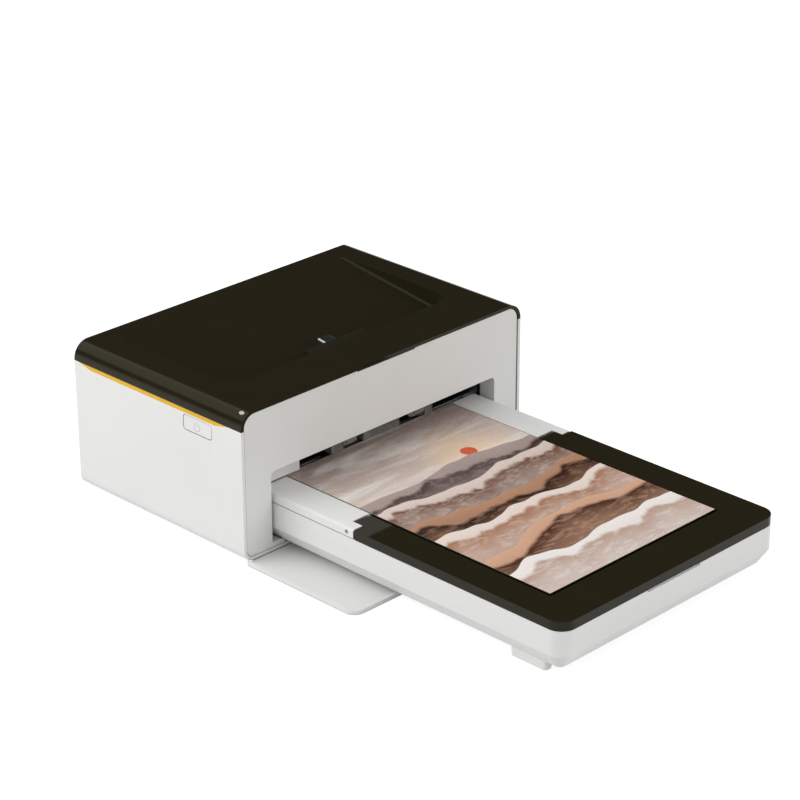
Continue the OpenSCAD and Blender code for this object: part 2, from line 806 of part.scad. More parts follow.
module ribbon_case() {
    color("#39393b") from_front() difference() {
        union() {
            along_x(-case_half, case_half) difference() {
                union() {
                    translate(take_at) circle(take_case_r);
                    translate(supply_at) circle(supply_case_r);
                    translate([take_y, web_z]) square([supply_at[0] - take_y, web_t]);
                }
                translate(take_at) circle(take_case_r - case_wall);
                translate(supply_at) circle(supply_case_r - case_wall);
            }
            for (x = [-case_half, case_half - case_wall]) along_x(x, x + case_wall) {
                translate(take_at) circle(take_case_r - case_wall / 2);
                translate(supply_at) circle(supply_case_r - case_wall / 2);
            }
        }
        along_x(-ribbon_half - 1, ribbon_half + 1) {
            band_2d(film_take, film_front, 3.6);
            band_2d(film_supply, film_rear, 3.6);
        }
        rod(-case_half - cut, -case_half + 3, take_at, spool_r + run);
        rod(case_half - 3, case_half + cut, take_at, shaft_r + run);
        rod(-case_half - cut, case_half + cut, supply_at, shaft_r + run);
    }
}

module supply_spool() {
    color("#c9c9c4") from_front() {
        rod(-case_half + case_wall + 0.3, case_half - case_wall - 0.3, supply_at, spool_r);
        rod(-case_half - 1, case_half + 1, supply_at, shaft_r);
    }
}

module supply_roll() {
    color("#3b2f5c") from_front() along_x(-ribbon_half, ribbon_half, supply_at) difference() {
        circle(supply_roll_r);
        circle(spool_r);
    }
}

module takeup_spool() {
    color("#c9c9c4") from_front() difference() {
        union() {
            rod(-case_half - 1, case_half - case_wall - 0.3, take_at, spool_r);
            rod(0, case_half + 1, take_at, shaft_r);
        }
        rod(-case_half - 1 - cut, -case_half + 9, take_at, shaft_r);
    }
}

module takeup_roll() {
    color("#3b2f5c") from_front() along_x(-ribbon_half, ribbon_half, take_at) difference() {
        circle(take_roll_r);
        circle(spool_r);
    }
}

module takeup_drive() {
    color("#d9d5c8") from_front() {
        gear(take_at, take_teeth, take_turn, shaft_r - 0.2);
        rod(gear_x0 - 0.5, -case_half + 8, take_at, shaft_r);
    }
}

// Ramp from the tray's rear edge up to the feed nip
module feed_ramp() {
    y0 = tray_in + 1.2;
    y1 = nip_y - feed_r - 1;
    low = plate_top + 0.4;
    high = path_z - 0.8;
    color("#2f2f31") from_front() along_x(-plate_in, plate_in)
        polygon([[y0, low], [y1, high], [y1, high - 2.4], [y0 + 2, low]]);
}

module paper_guide() {
    color("#2f2f31") from_front() {
        span([-plate_in, plate_in], [nip_y + feed_r + 0.8, platen_y - platen_r - 0.8], [path_z - 1.4, path_z - 0.6]);
        span([-plate_in, plate_in], [platen_y + platen_r + 1, body_d - 4], [path_z - 1.4, path_z - 0.6]);
    }
}

module main_board() {
    color("#2f6b3c") from_front() difference() {
        span([board_x0, board_x1], [board_y0, board_y1], [board_z, board_z + board_t]);
        for (x = [board_x0 + 6, board_x1 - 6], y = [board_y0 + 6, board_y1 - 6])
            translate([x, y, board_z - cut]) cylinder(h = 6, r = 1.2);
    }
}

module board_parts() {
    z = board_z + board_t;
    color("#1f1f21") from_front() translate([board_x0, board_y0, 0]) {
        span([34, 48], [16, 30], [z, z + 1.6]);
        span([10, 20], [14, 22], [z, z + 1.4]);
        span([62, 74], [9, 15], [z, z + 6]);
        span([14, 34], [36, 41], [z, z + 5]);
        for (x = [58, 67, 76]) translate([x, 26, z]) cylinder(h = 7, r = 3.2);
    }
}

module dc_inlet() {
    y1 = body_d - panel_y - panel_t;
    color("#242426") from_front() difference() {
        union() {
            span([inlet_x - 4.6, inlet_x + 4.6], [y1 - 12, y1 - 0.1], [board_z + board_t, inlet_z() + 4.6]);
            translate([inlet_x, body_d - panel_y, inlet_z()]) rotate([90, 0, 0]) cylinder(h = 4, r = inlet_r);
        }
        translate([inlet_x, body_d, inlet_z()]) rotate([90, 0, 0]) cylinder(h = 11, r = 2.75);
    }
    color("#b9bcc0") from_front() translate([inlet_x, body_d - 3, inlet_z()]) rotate([90, 0, 0]) cylinder(h = 9, r = 1);
}

module usb_port() {
    y1 = body_d - panel_y;
    color("#b9bcc0") from_front() difference() {
        span([usb_x - 5.8, usb_x + 5.8], [y1 - 12, y1 - 0.2], [board_z + board_t, inlet_z() + 2.2]);
        span([usb_x - 4.9, usb_x + 4.9], [y1 - 9, y1 + cut], [board_z + board_t + 1, inlet_z() + 1.4]);
    }
}

// Plan of the tray, drawn in by a margin
module tray_2d(margin) {
    round_box_2d([margin - half_tray, half_tray - margin], [margin - tray_reach, tray_in - margin],
        tray_round - margin, 1.5);
}

module tray_base() {
    guide_t = 1.5;
    grip_half = 16;
    color("#e6e6e4") from_front() difference() {
        union() {
            hull() {
                translate([0, 0, tray_low]) linear_extrude(0.02) round_box_2d([bevel_w - half_tray, half_tray - bevel_w],
                    [bevel_w - tray_reach, tray_in - bevel_w], tray_round - bevel_w, 0.4, $fn = 32);
                translate([0, 0, tray_low + bevel_h]) linear_extrude(0.02) tray_2d(0, $fn = 32);
            }
            translate([0, 0, tray_low + bevel_h]) linear_extrude(tray_seam - tray_low - bevel_h) tray_2d(0);
        }
        difference() {
            union() {
                span([bevel_w + 1 - half_tray, half_tray - bevel_w - 1],
                    [bevel_w + 1 - tray_reach, tray_in - tray_wall], [tray_floor, tray_top]);
                translate([0, 0, tray_low + bevel_h]) linear_extrude(tray_top)
                    round_box_2d([tray_wall - half_tray, half_tray - tray_wall],
                        [tray_wall - tray_reach, tray_in - tray_wall], tray_round - tray_wall, 0.5);
            }
            both_sides() difference() {
                span([print_w / 2 + 0.4, print_w / 2 + 0.4 + guide_t], [-lift_axis_out() - 3, tray_in - tray_wall - 1],
                    [0, stack_top]);
                rod(print_w / 2, print_w / 2 + 4, [-lift_axis_out(), lift_axis_z()], 1 + run);
            }
        }
        span([-half_tray - cut, half_tray + cut], [cover_back, tray_in + cut], [low_wall_z, tray_top]);
        span([-print_w / 2 - 2, print_w / 2 + 2], [tray_in - 6, tray_in + cut], [plate_top - 0.3, tray_top]);
        span([-grip_half, grip_half], [-tray_reach - cut, -tray_reach + 0.9], [tray_seam - 0.9, tray_top]);
    }
}

function lift_axis_out() = tray_reach - 9.5;
function lift_axis_z() = plate_top - plate_t - 0.2;

// Space of the bed that the finished print lies in
module print_bed() {
    span([-print_w / 2 - 0.6, print_w / 2 + 0.6], [-print_out() - 0.6, cover_back + cut], [tray_top - bed, tray_top + cut]);
}

function print_out() = print_l - cover_back - 0.1;

module tray_rear_cover() {
    color("#e4e4e1") from_front() difference() {
        union() {
            difference() {
                span([-half_tray, half_tray], [cover_front, cover_back], [tray_seam, tray_top]);
                span([tray_wall - half_tray, half_tray - tray_wall], [cover_front + 1.6, cover_back + cut],
                    [tray_seam - cut, tray_top - 2]);
            }
            both_sides() span([neck_half, half_tray], [arm_front, cover_front + 1.6], [tray_seam, tray_top]);
        }
        print_bed();
        both_sides() rod(neck_half - cut, half_tray + cut, [-hinge_out, lid_axis_z], lid_pin_r);
    }
}

module tray_lid() {
    side_gap = 0.3;
    low = tray_seam + 0.1;
    skirt_t = 1.8;
    color("#26221a") from_front() difference() {
        union() {
            difference() {
                translate([0, 0, low]) linear_extrude(tray_top - low)
                    round_box_2d([-half_tray, half_tray], [-tray_reach, lid_back], tray_round, 0.6);
                translate([0, 0, low - cut]) linear_extrude(tray_top - low + cut - 2)
                    round_box_2d([skirt_t - half_tray, half_tray - skirt_t],
                        [skirt_t - tray_reach, lid_back - skirt_t], tray_round - skirt_t, 0.5);
            }
            span([side_gap - neck_half, neck_half - side_gap], [lid_back - 1, -hinge_out],
                [lid_axis_z - lid_round, tray_top]);
            rod(side_gap - neck_half, neck_half - side_gap, [-hinge_out, lid_axis_z], lid_round);
        }
        print_bed();
        both_sides() rod(neck_half - 5, neck_half, [-hinge_out, lid_axis_z], lid_pin_r + run);
    }
}

module lid_pins() {
    color("#9a9c9f") from_front() both_sides()
        rod(neck_half - 4.5, half_tray, [-hinge_out, lid_axis_z], lid_pin_r);
}

module tray_feet() {
    back = tray_reach - 30.5;
    color("#d9d9d7") from_front() both_sides() linear_extrude(tray_low)
        round_box_2d([half_tray - bevel_w - 4.6, half_tray - bevel_w - 0.1], [-back - 18.5, -back], 1.6, 1.6);
}

module lift_plate() {
    color("#a9acaf") from_front() {
        span([1 - print_w / 2, print_w / 2 - 1], [-lift_axis_out(), stack_back - 2], [plate_top - plate_t, plate_top]);
        rod(-print_w / 2 - 1.8, print_w / 2 + 1.8, [-lift_axis_out(), lift_axis_z()], 1);
    }
}

module lift_springs() {
    leaf_t = 0.4;
    y1 = stack_back - 8;
    color("#8b8e92") from_front() for (x = [-25, 25]) along_x(x - 5, x + 5) {
        band_2d([y1 - 40, tray_floor + leaf_t / 2], [y1 - 24, tray_floor + leaf_t / 2], leaf_t);
        band_2d([y1 - 24.2, tray_floor + leaf_t / 2], [y1, plate_top - plate_t - leaf_t], leaf_t);
    }
}

module paper_stack() {
    color("#f3f3ef") from_front() span([-print_w / 2, print_w / 2], [stack_back - sheet_l, stack_back],
        [plate_top, stack_top]);
}

module print_sheet() {
    color("#c9a593") from_front() span([-print_w / 2, print_w / 2], [-print_out(), print_l - print_out()],
        [tray_top - bed + 0.05, tray_top - bed + 0.05 + print_t]);
}

lower_shell();
top_cover();
accent_strip_left();
accent_strip_right();
front_fascia();
rear_panel();
rubber_feet();
shell_screws();
dock_cradle();
dock_plug();
power_button();
button_board();
front_door();
door_hinge_pins();
cartridge_door();
chassis_plate_left();
chassis_plate_right();
chassis_tie_bars();
chassis_screws();
exit_guide();
exit_shaft();
exit_rollers();
pickup_shaft();
pickup_roller();
pickup_gear();
feed_roller();
feed_gear();
pinch_roller();
platen_shaft();
platen_roller();
idler_axle();
idler_gear();
feed_motor();
motor_pinion();
print_head();
head_heatsink();
ribbon_case();
supply_spool();
supply_roll();
takeup_spool();
takeup_roll();
takeup_drive();
ribbon_film();
feed_ramp();
paper_guide();
main_board();
board_parts();
dc_inlet();
usb_port();
tray_base();
tray_rear_cover();
tray_lid();
lid_pins();
tray_feet();
lift_plate();
lift_springs();
paper_stack();
print_sheet();
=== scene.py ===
"""Looks and stage of a compact photo printer with a dock, a paper tray and a fold-down front door.

Everything is in metres, in the frame of the printer's solids: +Z up, the front faces -Y, +X to the right.
"""

import math

import bmesh
import bpy
from bpy.props import FloatProperty, FloatVectorProperty, IntProperty, PointerProperty
from bpy.types import NodeSocket, Operator, Panel, PropertyGroup
from mathutils import Matrix, Vector


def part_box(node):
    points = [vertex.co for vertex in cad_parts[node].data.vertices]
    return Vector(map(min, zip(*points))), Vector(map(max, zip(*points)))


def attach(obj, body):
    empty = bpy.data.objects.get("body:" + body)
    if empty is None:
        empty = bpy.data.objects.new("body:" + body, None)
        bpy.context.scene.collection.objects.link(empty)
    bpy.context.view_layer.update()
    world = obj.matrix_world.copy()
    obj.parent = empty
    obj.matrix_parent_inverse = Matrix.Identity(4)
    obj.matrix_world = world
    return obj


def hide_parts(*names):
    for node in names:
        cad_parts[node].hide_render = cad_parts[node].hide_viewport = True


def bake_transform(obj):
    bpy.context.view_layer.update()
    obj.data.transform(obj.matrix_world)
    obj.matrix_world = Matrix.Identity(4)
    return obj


bl_info = {
    "name": "Compact photo printer",
    "version": (1, 0, 0),
    "blender": (4, 5, 0),
    "location": "3D View > Sidebar > Photo printer",
    "description": "Gives a compact photo printer its finishes, its picture print and its studio stage",
    "category": "Object",
}

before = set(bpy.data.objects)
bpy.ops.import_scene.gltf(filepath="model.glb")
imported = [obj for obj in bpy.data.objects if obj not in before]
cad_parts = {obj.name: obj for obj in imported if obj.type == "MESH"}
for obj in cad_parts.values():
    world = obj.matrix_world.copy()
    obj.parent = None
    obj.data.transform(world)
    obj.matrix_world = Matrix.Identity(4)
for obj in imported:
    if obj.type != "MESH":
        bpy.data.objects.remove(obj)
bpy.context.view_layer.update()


def srgb(red, green, blue):
    """Linear colour of a colour written in 0 to 255 steps, as a picture shows it."""
    shares = (step / 255 for step in (red, green, blue))
    return tuple(v / 12.92 if v <= 0.04045 else ((v + 0.055) / 1.055) ** 2.4 for v in shares)


# ---------------------------------------------------------------- settings


def colour(name, description, default):
    """A colour setting."""
    return FloatVectorProperty(
        name=name, description=description, default=default, size=3, min=0, max=1, subtype="COLOR"
    )


def length(name, description, default):
    """A length setting in metres."""
    limits = {"min": 0, "unit": "LENGTH", "subtype": "DISTANCE", "precision": 5}
    return FloatProperty(name=name, description=description, default=default, **limits)


def position(name, description, default):
    """A setting for a position along one axis, in metres."""
    return FloatProperty(name=name, description=description, default=default, unit="LENGTH")


def angle(name, description, degrees):
    """An angle setting, with its default in degrees."""
    return FloatProperty(name=name, description=description, default=math.radians(degrees), subtype="ANGLE")


def amount(name, description, default, least=0):
    """A setting that is a plain number."""
    return FloatProperty(name=name, description=description, default=default, min=least)


class PrinterColours(PropertyGroup):
    """Colours of the printer's pieces"""

    shell: colour("Shell", "Satin white of the shell, the tray and the doors", srgb(231, 231, 229))
    fascia: colour("Front panel", "Satin white of the front panel", srgb(227, 227, 224))
    cover: colour("Cover", "Warm black of the glossy top cover and the tray's lid", srgb(38, 34, 21))
    accent: colour("Accent strip", "Yellow of the strip under the cover", srgb(226, 175, 24))
    guide: colour("Paper guides", "Dark grey of the paper guides and the ribbon cartridge", srgb(46, 46, 48))
    exit_guide: colour("Exit guide", "Mid grey of the ribbed guide over the print", srgb(122, 122, 119))
    roller: colour("Exit rollers", "Light grey of the rubber exit rollers", srgb(232, 232, 227))
    gear: colour("Gears", "Natural acetal of the gears and spools", srgb(222, 217, 202))
    board: colour("Circuit boards", "Solder mask of the circuit boards", srgb(38, 96, 54))
    ribbon: colour("Dye ribbon", "Dark dye of the ribbon and its rolls", srgb(62, 44, 92))
    paper: colour("Paper", "Coated photo paper", srgb(243, 241, 236))


class PrinterSizes(PropertyGroup):
    """Sizes of the soft edges, the print and the button's mark"""

    shell_edge: length("Shell edges", "Radius on the edges of the shell, its rear panel and the tray", 0.0005)
    lid_edge: length("Lid edges", "Radius on the top edges of the tray's lid", 0.0006)
    fine_edge: length("Fine edges", "Radius on the edges of small plastic pieces", 0.0002)
    sheet_steps: IntProperty(
        name="Print steps",
        description="Steps along the picture print, so that it can bend with the lid",
        default=74,
        min=8,
        max=400,
    )
    mark_ring: length("Power mark", "Radius of the ring of the power mark", 0.0018)
    mark_line: length("Power mark line", "Width of the power mark's lines", 0.00032)


class StageSettings(PropertyGroup):
    """Camera, floor and light"""

    camera_x: position("Camera X", "Place of the camera across the printer", -0.74812)
    camera_y: position("Camera Y", "Place of the camera along the printer", -0.72262)
    camera_z: position("Camera Z", "Height of the camera", 0.52998)
    azimuth: angle("Azimuth", "Turn of the view round the printer, 0 along +Y", -45.26)
    elevation: angle("Elevation", "Angle of the view above the horizon", 24.5)
    roll: angle("Roll", "Turn of the camera about its own axis", 0.18)
    lens: amount("Lens", "Focal length in millimetres on a 36 mm wide sensor", 124.04, least=1)
    floor_size: length("Floor size", "Side of the square floor", 14.0)
    sky_level: amount("Sky level", "Strength of the even light from all sides", 0.58)
    key_power: amount("Key power", "Power of the large soft lamp behind the left side, in watts", 12.6)
    fill_power: amount("Fill power", "Power of the soft lamp in front, in watts", 6.4)


# ---------------------------------------------------------------- material tools


class Finish:
    """The nodes of one material or world. Its methods add nodes and return the socket of their result."""

    def __init__(self, name, world=False):
        self.owner = (bpy.data.worlds if world else bpy.data.materials).new(name)
        self.owner.use_nodes = True
        self.tree = self.owner.node_tree
        self.tree.nodes.clear()
        self.output = self.node("ShaderNodeOutputWorld" if world else "ShaderNodeOutputMaterial")
        self.place = self.node("ShaderNodeTexCoord").outputs["Generated" if world else "Object"]

    def node(self, kind, **settings):
        """A new node with its settings."""
        made = self.tree.nodes.new(kind)
        for key, value in settings.items():
            setattr(made, key, value)
        return made

    def feed(self, socket, value):
        """Links a socket to another one, or gives it a fixed value."""
        if isinstance(value, NodeSocket):
            self.tree.links.new(value, socket)
        else:
            socket.default_value = value

    def fed(self, kind, *values, **settings):
        """The result of a new node whose inputs take these values in turn."""
        made = self.node(kind, **settings)
        for socket, value in zip(made.inputs, values):
            self.feed(socket, value)
        return made.outputs[0]

    def math(self, operation, *values):
        """The result of one step of reckoning."""
        return self.fed("ShaderNodeMath", *values, operation=operation)

    def distance(self, first, second):
        """The distance that two offsets at a right angle make."""
        squares = (self.math("POWER", offset, 2.0) for offset in (first, second))
        return self.math("SQRT", self.math("ADD", *squares))

    def stretch(self, x, y, z, shift=(0, 0, 0)):
        """The place on the piece with its axes scaled."""
        made = self.node("ShaderNodeMapping")
        self.feed(made.inputs["Vector"], self.place)
        made.inputs["Scale"].default_value = (x, y, z)
        made.inputs["Location"].default_value = shift
        return made.outputs[0]

    def axes(self, vector=None):
        """The X, Y and Z of the place on the piece, or of another vector."""
        made = self.node("ShaderNodeSeparateXYZ")
        self.feed(made.inputs[0], vector or self.place)
        return made.outputs

    def noise(self, scale, detail, rough=0.5, vector=None, distortion=0.0):
        """Soft noise."""
        made = self.node("ShaderNodeTexNoise")
        self.feed(made.inputs["Vector"], vector or self.place)
        made.inputs["Scale"].default_value = scale
        made.inputs["Detail"].default_value = detail
        made.inputs["Roughness"].default_value = rough
        made.inputs["Distortion"].default_value = distortion
        return made.outputs["Fac"]

    def cells(self, scale, output="Distance"):
        """Scattered cells: the distance to the nearest middle, or each cell's own colour."""
        made = self.node("ShaderNodeTexVoronoi")
        self.feed(made.inputs["Vector"], self.place)
        made.inputs["Scale"].default_value = scale
        return made.outputs[output]

    def between(self, value, low, high, to_low=0.0, to_high=1.0, smooth=False):
        """A value's span low to high carried over to another span."""
        curve = "SMOOTHSTEP" if smooth else "LINEAR"
        return self.fed("ShaderNodeMapRange", value, low, high, to_low, to_high, interpolation_type=curve)

    def wander(self, noise, low, high):
        """A value that wanders from low to high with a noise, most of which lies between 0.3 and 0.7."""
        return self.between(noise, 0.3, 0.7, low, high)

    def blend(self, share, first, second):
        """Colour that goes from the first to the second as share goes from 0 to 1."""
        made = self.node("ShaderNodeMix", data_type="RGBA")
        self.feed(made.inputs["Factor"], share)
        for socket, value in ((made.inputs["A"], first), (made.inputs["B"], second)):
            self.feed(socket, value if isinstance(value, NodeSocket) else (*value[:3], 1.0))
        return made.outputs["Result"]

    def tones(self, share, base, dark, light):
        """A colour that wanders a little darker and lighter."""
        return self.blend(share, [c * dark for c in base], [min(1.0, c * light) for c in base])

    def bump(self, height, strength, distance, under=None):
        """The surface's direction with fine relief, over that of another relief if one is given."""
        made = self.node("ShaderNodeBump")
        self.feed(made.inputs["Height"], height)
        made.inputs["Strength"].default_value = strength
        made.inputs["Distance"].default_value = distance
        if under is not None:
            self.feed(made.inputs["Normal"], under)
        return made.outputs["Normal"]

    def painted_seam_shade(self, colour, reach=0.0013, kept=0.12, dust_and_painted_shade=(0.03, 0.03, 0.03)):
        """The colour with painted shade: darker in narrow seams and corners, where an occlusion test finds
        other surfaces near and only a share of the colour is kept.
        """
        shade = self.node("ShaderNodeAmbientOcclusion", samples=6)
        shade.inputs["Distance"].default_value = reach
        open_air = self.between(shade.outputs["AO"], 0.3, 0.78)
        # Painted shade: the dark colour takes over where little open air is found.
        return self.blend(open_air, self.blend(kept, dust_and_painted_shade, colour), colour)

    def shader(self, kind, **inputs):
        """The result of a shader with these inputs."""
        made = self.node(kind)
        for key, value in inputs.items():
            fixed_colour = key.endswith("Color") and not isinstance(value, NodeSocket)
            self.feed(made.inputs[key.replace("_", " ")], (*value[:3], 1.0) if fixed_colour else value)
        return made.outputs[0]

    def surface(self, shader):
        """Ends in this shader, and returns the material or world."""
        self.tree.links.new(shader, self.output.inputs["Surface"])
        return self.owner

    def close(self, **inputs):
        """Ends in a Principled shader with these inputs, and returns the material."""
        return self.surface(self.shader("ShaderNodeBsdfPrincipled", **inputs))


# ---------------------------------------------------------------- finishes


def satin_plastic(name, base, rough=0.42, grain=0.12, with_seam_shade=True):
    """Moulded plastic: a fine spark-eroded grain, a faint flow of tone, rubbed, lighter edges and, unless
    turned off, painted shade in narrow seams and corners.
    """
    f = Finish(name)
    flow = f.noise(22, 3, 0.55)
    rub = f.between(f.node("ShaderNodeNewGeometry").outputs["Pointiness"], 0.53, 0.62, 0.0, 0.25)
    tone = f.blend(rub, f.tones(flow, base, 0.965, 1.02), [min(1.0, c * 1.08 + 0.01) for c in base])
    # Painted shade in narrow seams and corners.
    tone = f.painted_seam_shade(tone) if with_seam_shade else tone
    grainy = f.noise(3200, 2, 0.6)
    return f.close(
        Base_Color=tone,
        Roughness=f.wander(f.noise(160, 3), rough - 0.05, rough + 0.06),
        Specular_IOR_Level=0.36,
        Normal=f.bump(grainy, grain, 0.00004),
    )


def lacquered_plastic(name, base, rough=0.09):
    """Polished dark plastic: faint smears, sparse dust specks, a slight waviness from the mould and painted
    shade, near black, in narrow seams and grooves.
    """
    f = Finish(name)
    smear = f.noise(1, 4, 0.6, f.stretch(38, 14, 30), 0.6)
    dust_and_painted_shade = f.between(f.cells(620), 0.0, 0.09, 1.0, 0.0)
    dusty = f.math("MULTIPLY", dust_and_painted_shade, f.between(f.noise(45, 2), 0.5, 0.75))
    tone = f.blend(f.math("MULTIPLY", dusty, 0.22), f.tones(smear, base, 0.9, 1.1), (0.12, 0.115, 0.1))
    smeared = f.between(smear, 0.35, 0.75, rough * 0.8, rough * 1.6)
    return f.close(
        # Painted shade: near black where the surface lies in a narrow seam, a groove or the moat round the
        # print's bed.
        Base_Color=f.painted_seam_shade(tone, 0.0022, 0.0, (0.0015, 0.0014, 0.001)),
        Roughness=f.math("ADD", smeared, f.math("MULTIPLY", dusty, 0.3)),
        Specular_IOR_Level=0.17,
        Normal=f.bump(f.noise(60, 1), 0.03, 0.0003),
    )


def highlight_dome_plastic(name, base):
    """Light grey milky plastic of the dome that is a painted highlight on the cover: cloudy, with a polished
    skin.
    """
    f = Finish(name)
    return f.close(
        Base_Color=f.tones(f.noise(900, 3), base, 0.9, 1.04),
        Roughness=f.wander(f.noise(1200, 2), 0.18, 0.3),
        Specular_IOR_Level=0.5,
        Normal=f.bump(f.noise(2600, 2), 0.05, 0.00003),
    )


def dark_plastic(name, base):
    """Matt, slightly textured dark plastic."""
    f = Finish(name)
    return f.close(
        Base_Color=f.tones(f.noise(90, 3), base, 0.8, 1.2),
        Roughness=f.wander(f.noise(900, 2), 0.5, 0.68),
        Specular_IOR_Level=0.3,
        Normal=f.bump(f.cells(1500), 0.2, 0.00006),
    )


def acetal(name, base):
    """Natural acetal of gears and spools: waxy, with a cloudy tone."""
    f = Finish(name)
    return f.close(
        Base_Color=f.tones(f.noise(180, 4, 0.6), base, 0.9, 1.04),
        Roughness=f.wander(f.noise(400, 2), 0.3, 0.42),
        Specular_IOR_Level=0.4,
        Normal=f.bump(f.noise(1400, 2), 0.1, 0.00005),
    )


def rubber(name, base):
    """Ground rubber: fine rings round the roller, and a tone that paper dust makes cloudy."""
    f = Finish(name)
    rings = f.noise(1, 2, 0.6, f.stretch(5200, 300, 300))
    return f.close(
        Base_Color=f.tones(f.noise(240, 4, 0.65), base, 0.82, 1.16),
        Roughness=f.wander(rings, 0.68, 0.86),
        Specular_IOR_Level=0.25,
        Normal=f.bump(rings, 0.35, 0.00006),
    )


def plated_sheet(name, base):
    """Zinc-plated sheet: faint spangles and rolling lines."""
    f = Finish(name)
    spangle = f.fed("ShaderNodeRGBToBW", f.cells(150, "Color"))
    lines = f.noise(1, 2, 0.5, f.stretch(60, 60, 4200))
    return f.close(
        Base_Color=f.tones(spangle, base, 0.88, 1.08),
        Metallic=1.0,
        Roughness=f.between(spangle, 0.0, 1.0, 0.3, 0.44),
        Normal=f.bump(lines, 0.12, 0.00004),
    )


def turned_metal(name, base, rough=0.24):
    """Ground or turned metal: fine rings round an axis along X, and a little tarnish."""
    f = Finish(name)
    rings = f.noise(1, 3, 0.6, f.stretch(9000, 120, 120))
    return f.close(
        Base_Color=f.tones(f.noise(70, 3), base, 0.9, 1.05),
        Metallic=1.0,
        Roughness=f.wander(rings, rough - 0.05, rough + 0.08),
        Normal=f.bump(rings, 0.15, 0.00003),
    )


def drawn_metal(name, base, rough=0.3):
    """Extruded or pressed metal: long faint draw lines along X."""
    f = Finish(name)
    lines = f.noise(1, 3, 0.6, f.stretch(30, 5200, 5200))
    return f.close(
        Base_Color=f.tones(f.noise(55, 3), base, 0.9, 1.05),
        Metallic=1.0,
        Roughness=f.wander(lines, rough - 0.05, rough + 0.1),
        Normal=f.bump(lines, 0.18, 0.00004),
    )


def glazed_ceramic(name, base):
    """Glazed ceramic of the print head, with the brown stripe of its row of heating dots."""
    f = Finish(name)
    low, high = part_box("print_head")
    beside = f.math("ABSOLUTE", f.math("SUBTRACT", f.axes()[1], (low.y + high.y) / 2))
    stripe = f.between(beside, 0.0004, 0.0006, 1.0, 0.0)
    return f.close(
        Base_Color=f.blend(stripe, f.tones(f.noise(300, 3), base, 0.95, 1.03), srgb(120, 84, 52)),
        Roughness=f.wander(f.noise(500, 2), 0.12, 0.22),
        Normal=f.bump(f.noise(900, 2), 0.05, 0.00003),
    )


def circuit_board(name, base):
    """Solder mask over copper: straight tracks, round gold pads and the glass cloth's weave."""
    f = Finish(name)
    x, y, _ = f.axes()
    cloth = 9000.0
    runs = f.node("ShaderNodeTexBrick", offset=0.5)
    f.feed(runs.inputs["Vector"], f.stretch(420, 420, 420))
    runs.inputs["Mortar Size"].default_value = 0.09
    runs.inputs["Scale"].default_value = 1.0
    tracks = f.math("MULTIPLY", runs.outputs["Fac"], f.between(f.noise(140, 1), 0.48, 0.56))
    pads = f.between(f.cells(330), 0.13, 0.17, 1.0, 0.0)
    shown = f.math("MULTIPLY", pads, f.between(f.noise(110, 1), 0.52, 0.6))
    weave = f.math("MULTIPLY", *(f.math("SINE", f.math("MULTIPLY", way, cloth)) for way in (x, y)))
    bright = [min(1.0, c * 1.7 + 0.01) for c in base]
    mask = f.blend(tracks, f.tones(f.noise(200, 2), base, 0.9, 1.08), bright)
    return f.close(
        Base_Color=f.blend(shown, mask, srgb(214, 176, 92)),
        Metallic=f.math("MULTIPLY", shown, 0.9),
        Roughness=f.between(shown, 0.0, 1.0, 0.34, 0.24),
        Normal=f.bump(f.math("ADD", f.math("MULTIPLY", weave, 0.15), tracks), 0.2, 0.00006),
    )


def board_components(name):
    """Black moulded parts, and the bright metal top of the tallest."""
    f = Finish(name)
    _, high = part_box("board_parts")
    top = f.between(f.axes()[2], high.z - 0.0003, high.z - 0.0001)
    return f.close(
        Base_Color=f.blend(top, f.tones(f.noise(700, 3), (0.022, 0.022, 0.024), 0.7, 1.4), (0.6, 0.61, 0.62)),
        Metallic=top,
        Roughness=f.between(top, 0.0, 1.0, 0.55, 0.28),
        Normal=f.bump(f.noise(2600, 2), 0.2, 0.00005),
    )


def power_inlet(name, base):
    """Black plastic inlet with a bright contact pin on its axis."""
    f = Finish(name)
    low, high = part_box("dc_inlet")
    x, _, z = f.axes()
    bore_depth, pin_radius, edge = 0.0046, 0.0011, 0.0001
    across = f.math("SUBTRACT", x, (low.x + high.x) / 2)
    up = f.math("SUBTRACT", z, high.z - bore_depth)
    pin = f.between(f.distance(across, up), pin_radius, pin_radius + edge, 1.0, 0.0)
    return f.close(
        Base_Color=f.blend(pin, f.tones(f.noise(600, 2), base, 0.8, 1.2), (0.62, 0.63, 0.64)),
        Metallic=pin,
        Roughness=f.between(pin, 0.0, 1.0, 0.5, 0.22),
        Normal=f.bump(f.noise(1800, 2), 0.15, 0.00005),
    )


def dye_film(name, base):
    """Thin glossy dyed film with faint creases across the ribbon."""
    f = Finish(name)
    wave = f.noise(1, 2, 0.5, f.stretch(60, 900, 900))
    return f.close(
        Base_Color=f.tones(wave, base, 0.7, 1.35),
        Roughness=f.wander(wave, 0.14, 0.3),
        Specular_IOR_Level=0.6,
        Normal=f.bump(wave, 0.15, 0.00005),
    )


def coated_paper(name, base):
    """A stack of coated sheets: cut edges show as fine lines, the face is smooth."""
    f = Finish(name)
    lines = f.noise(1, 2, 0.6, f.stretch(20, 20, 7800))
    return f.close(
        Base_Color=f.tones(lines, base, 0.9, 1.01),
        Roughness=f.wander(f.noise(300, 2), 0.4, 0.5),
        Specular_IOR_Level=0.4,
        Normal=f.bump(lines, 0.25, 0.00004),
    )


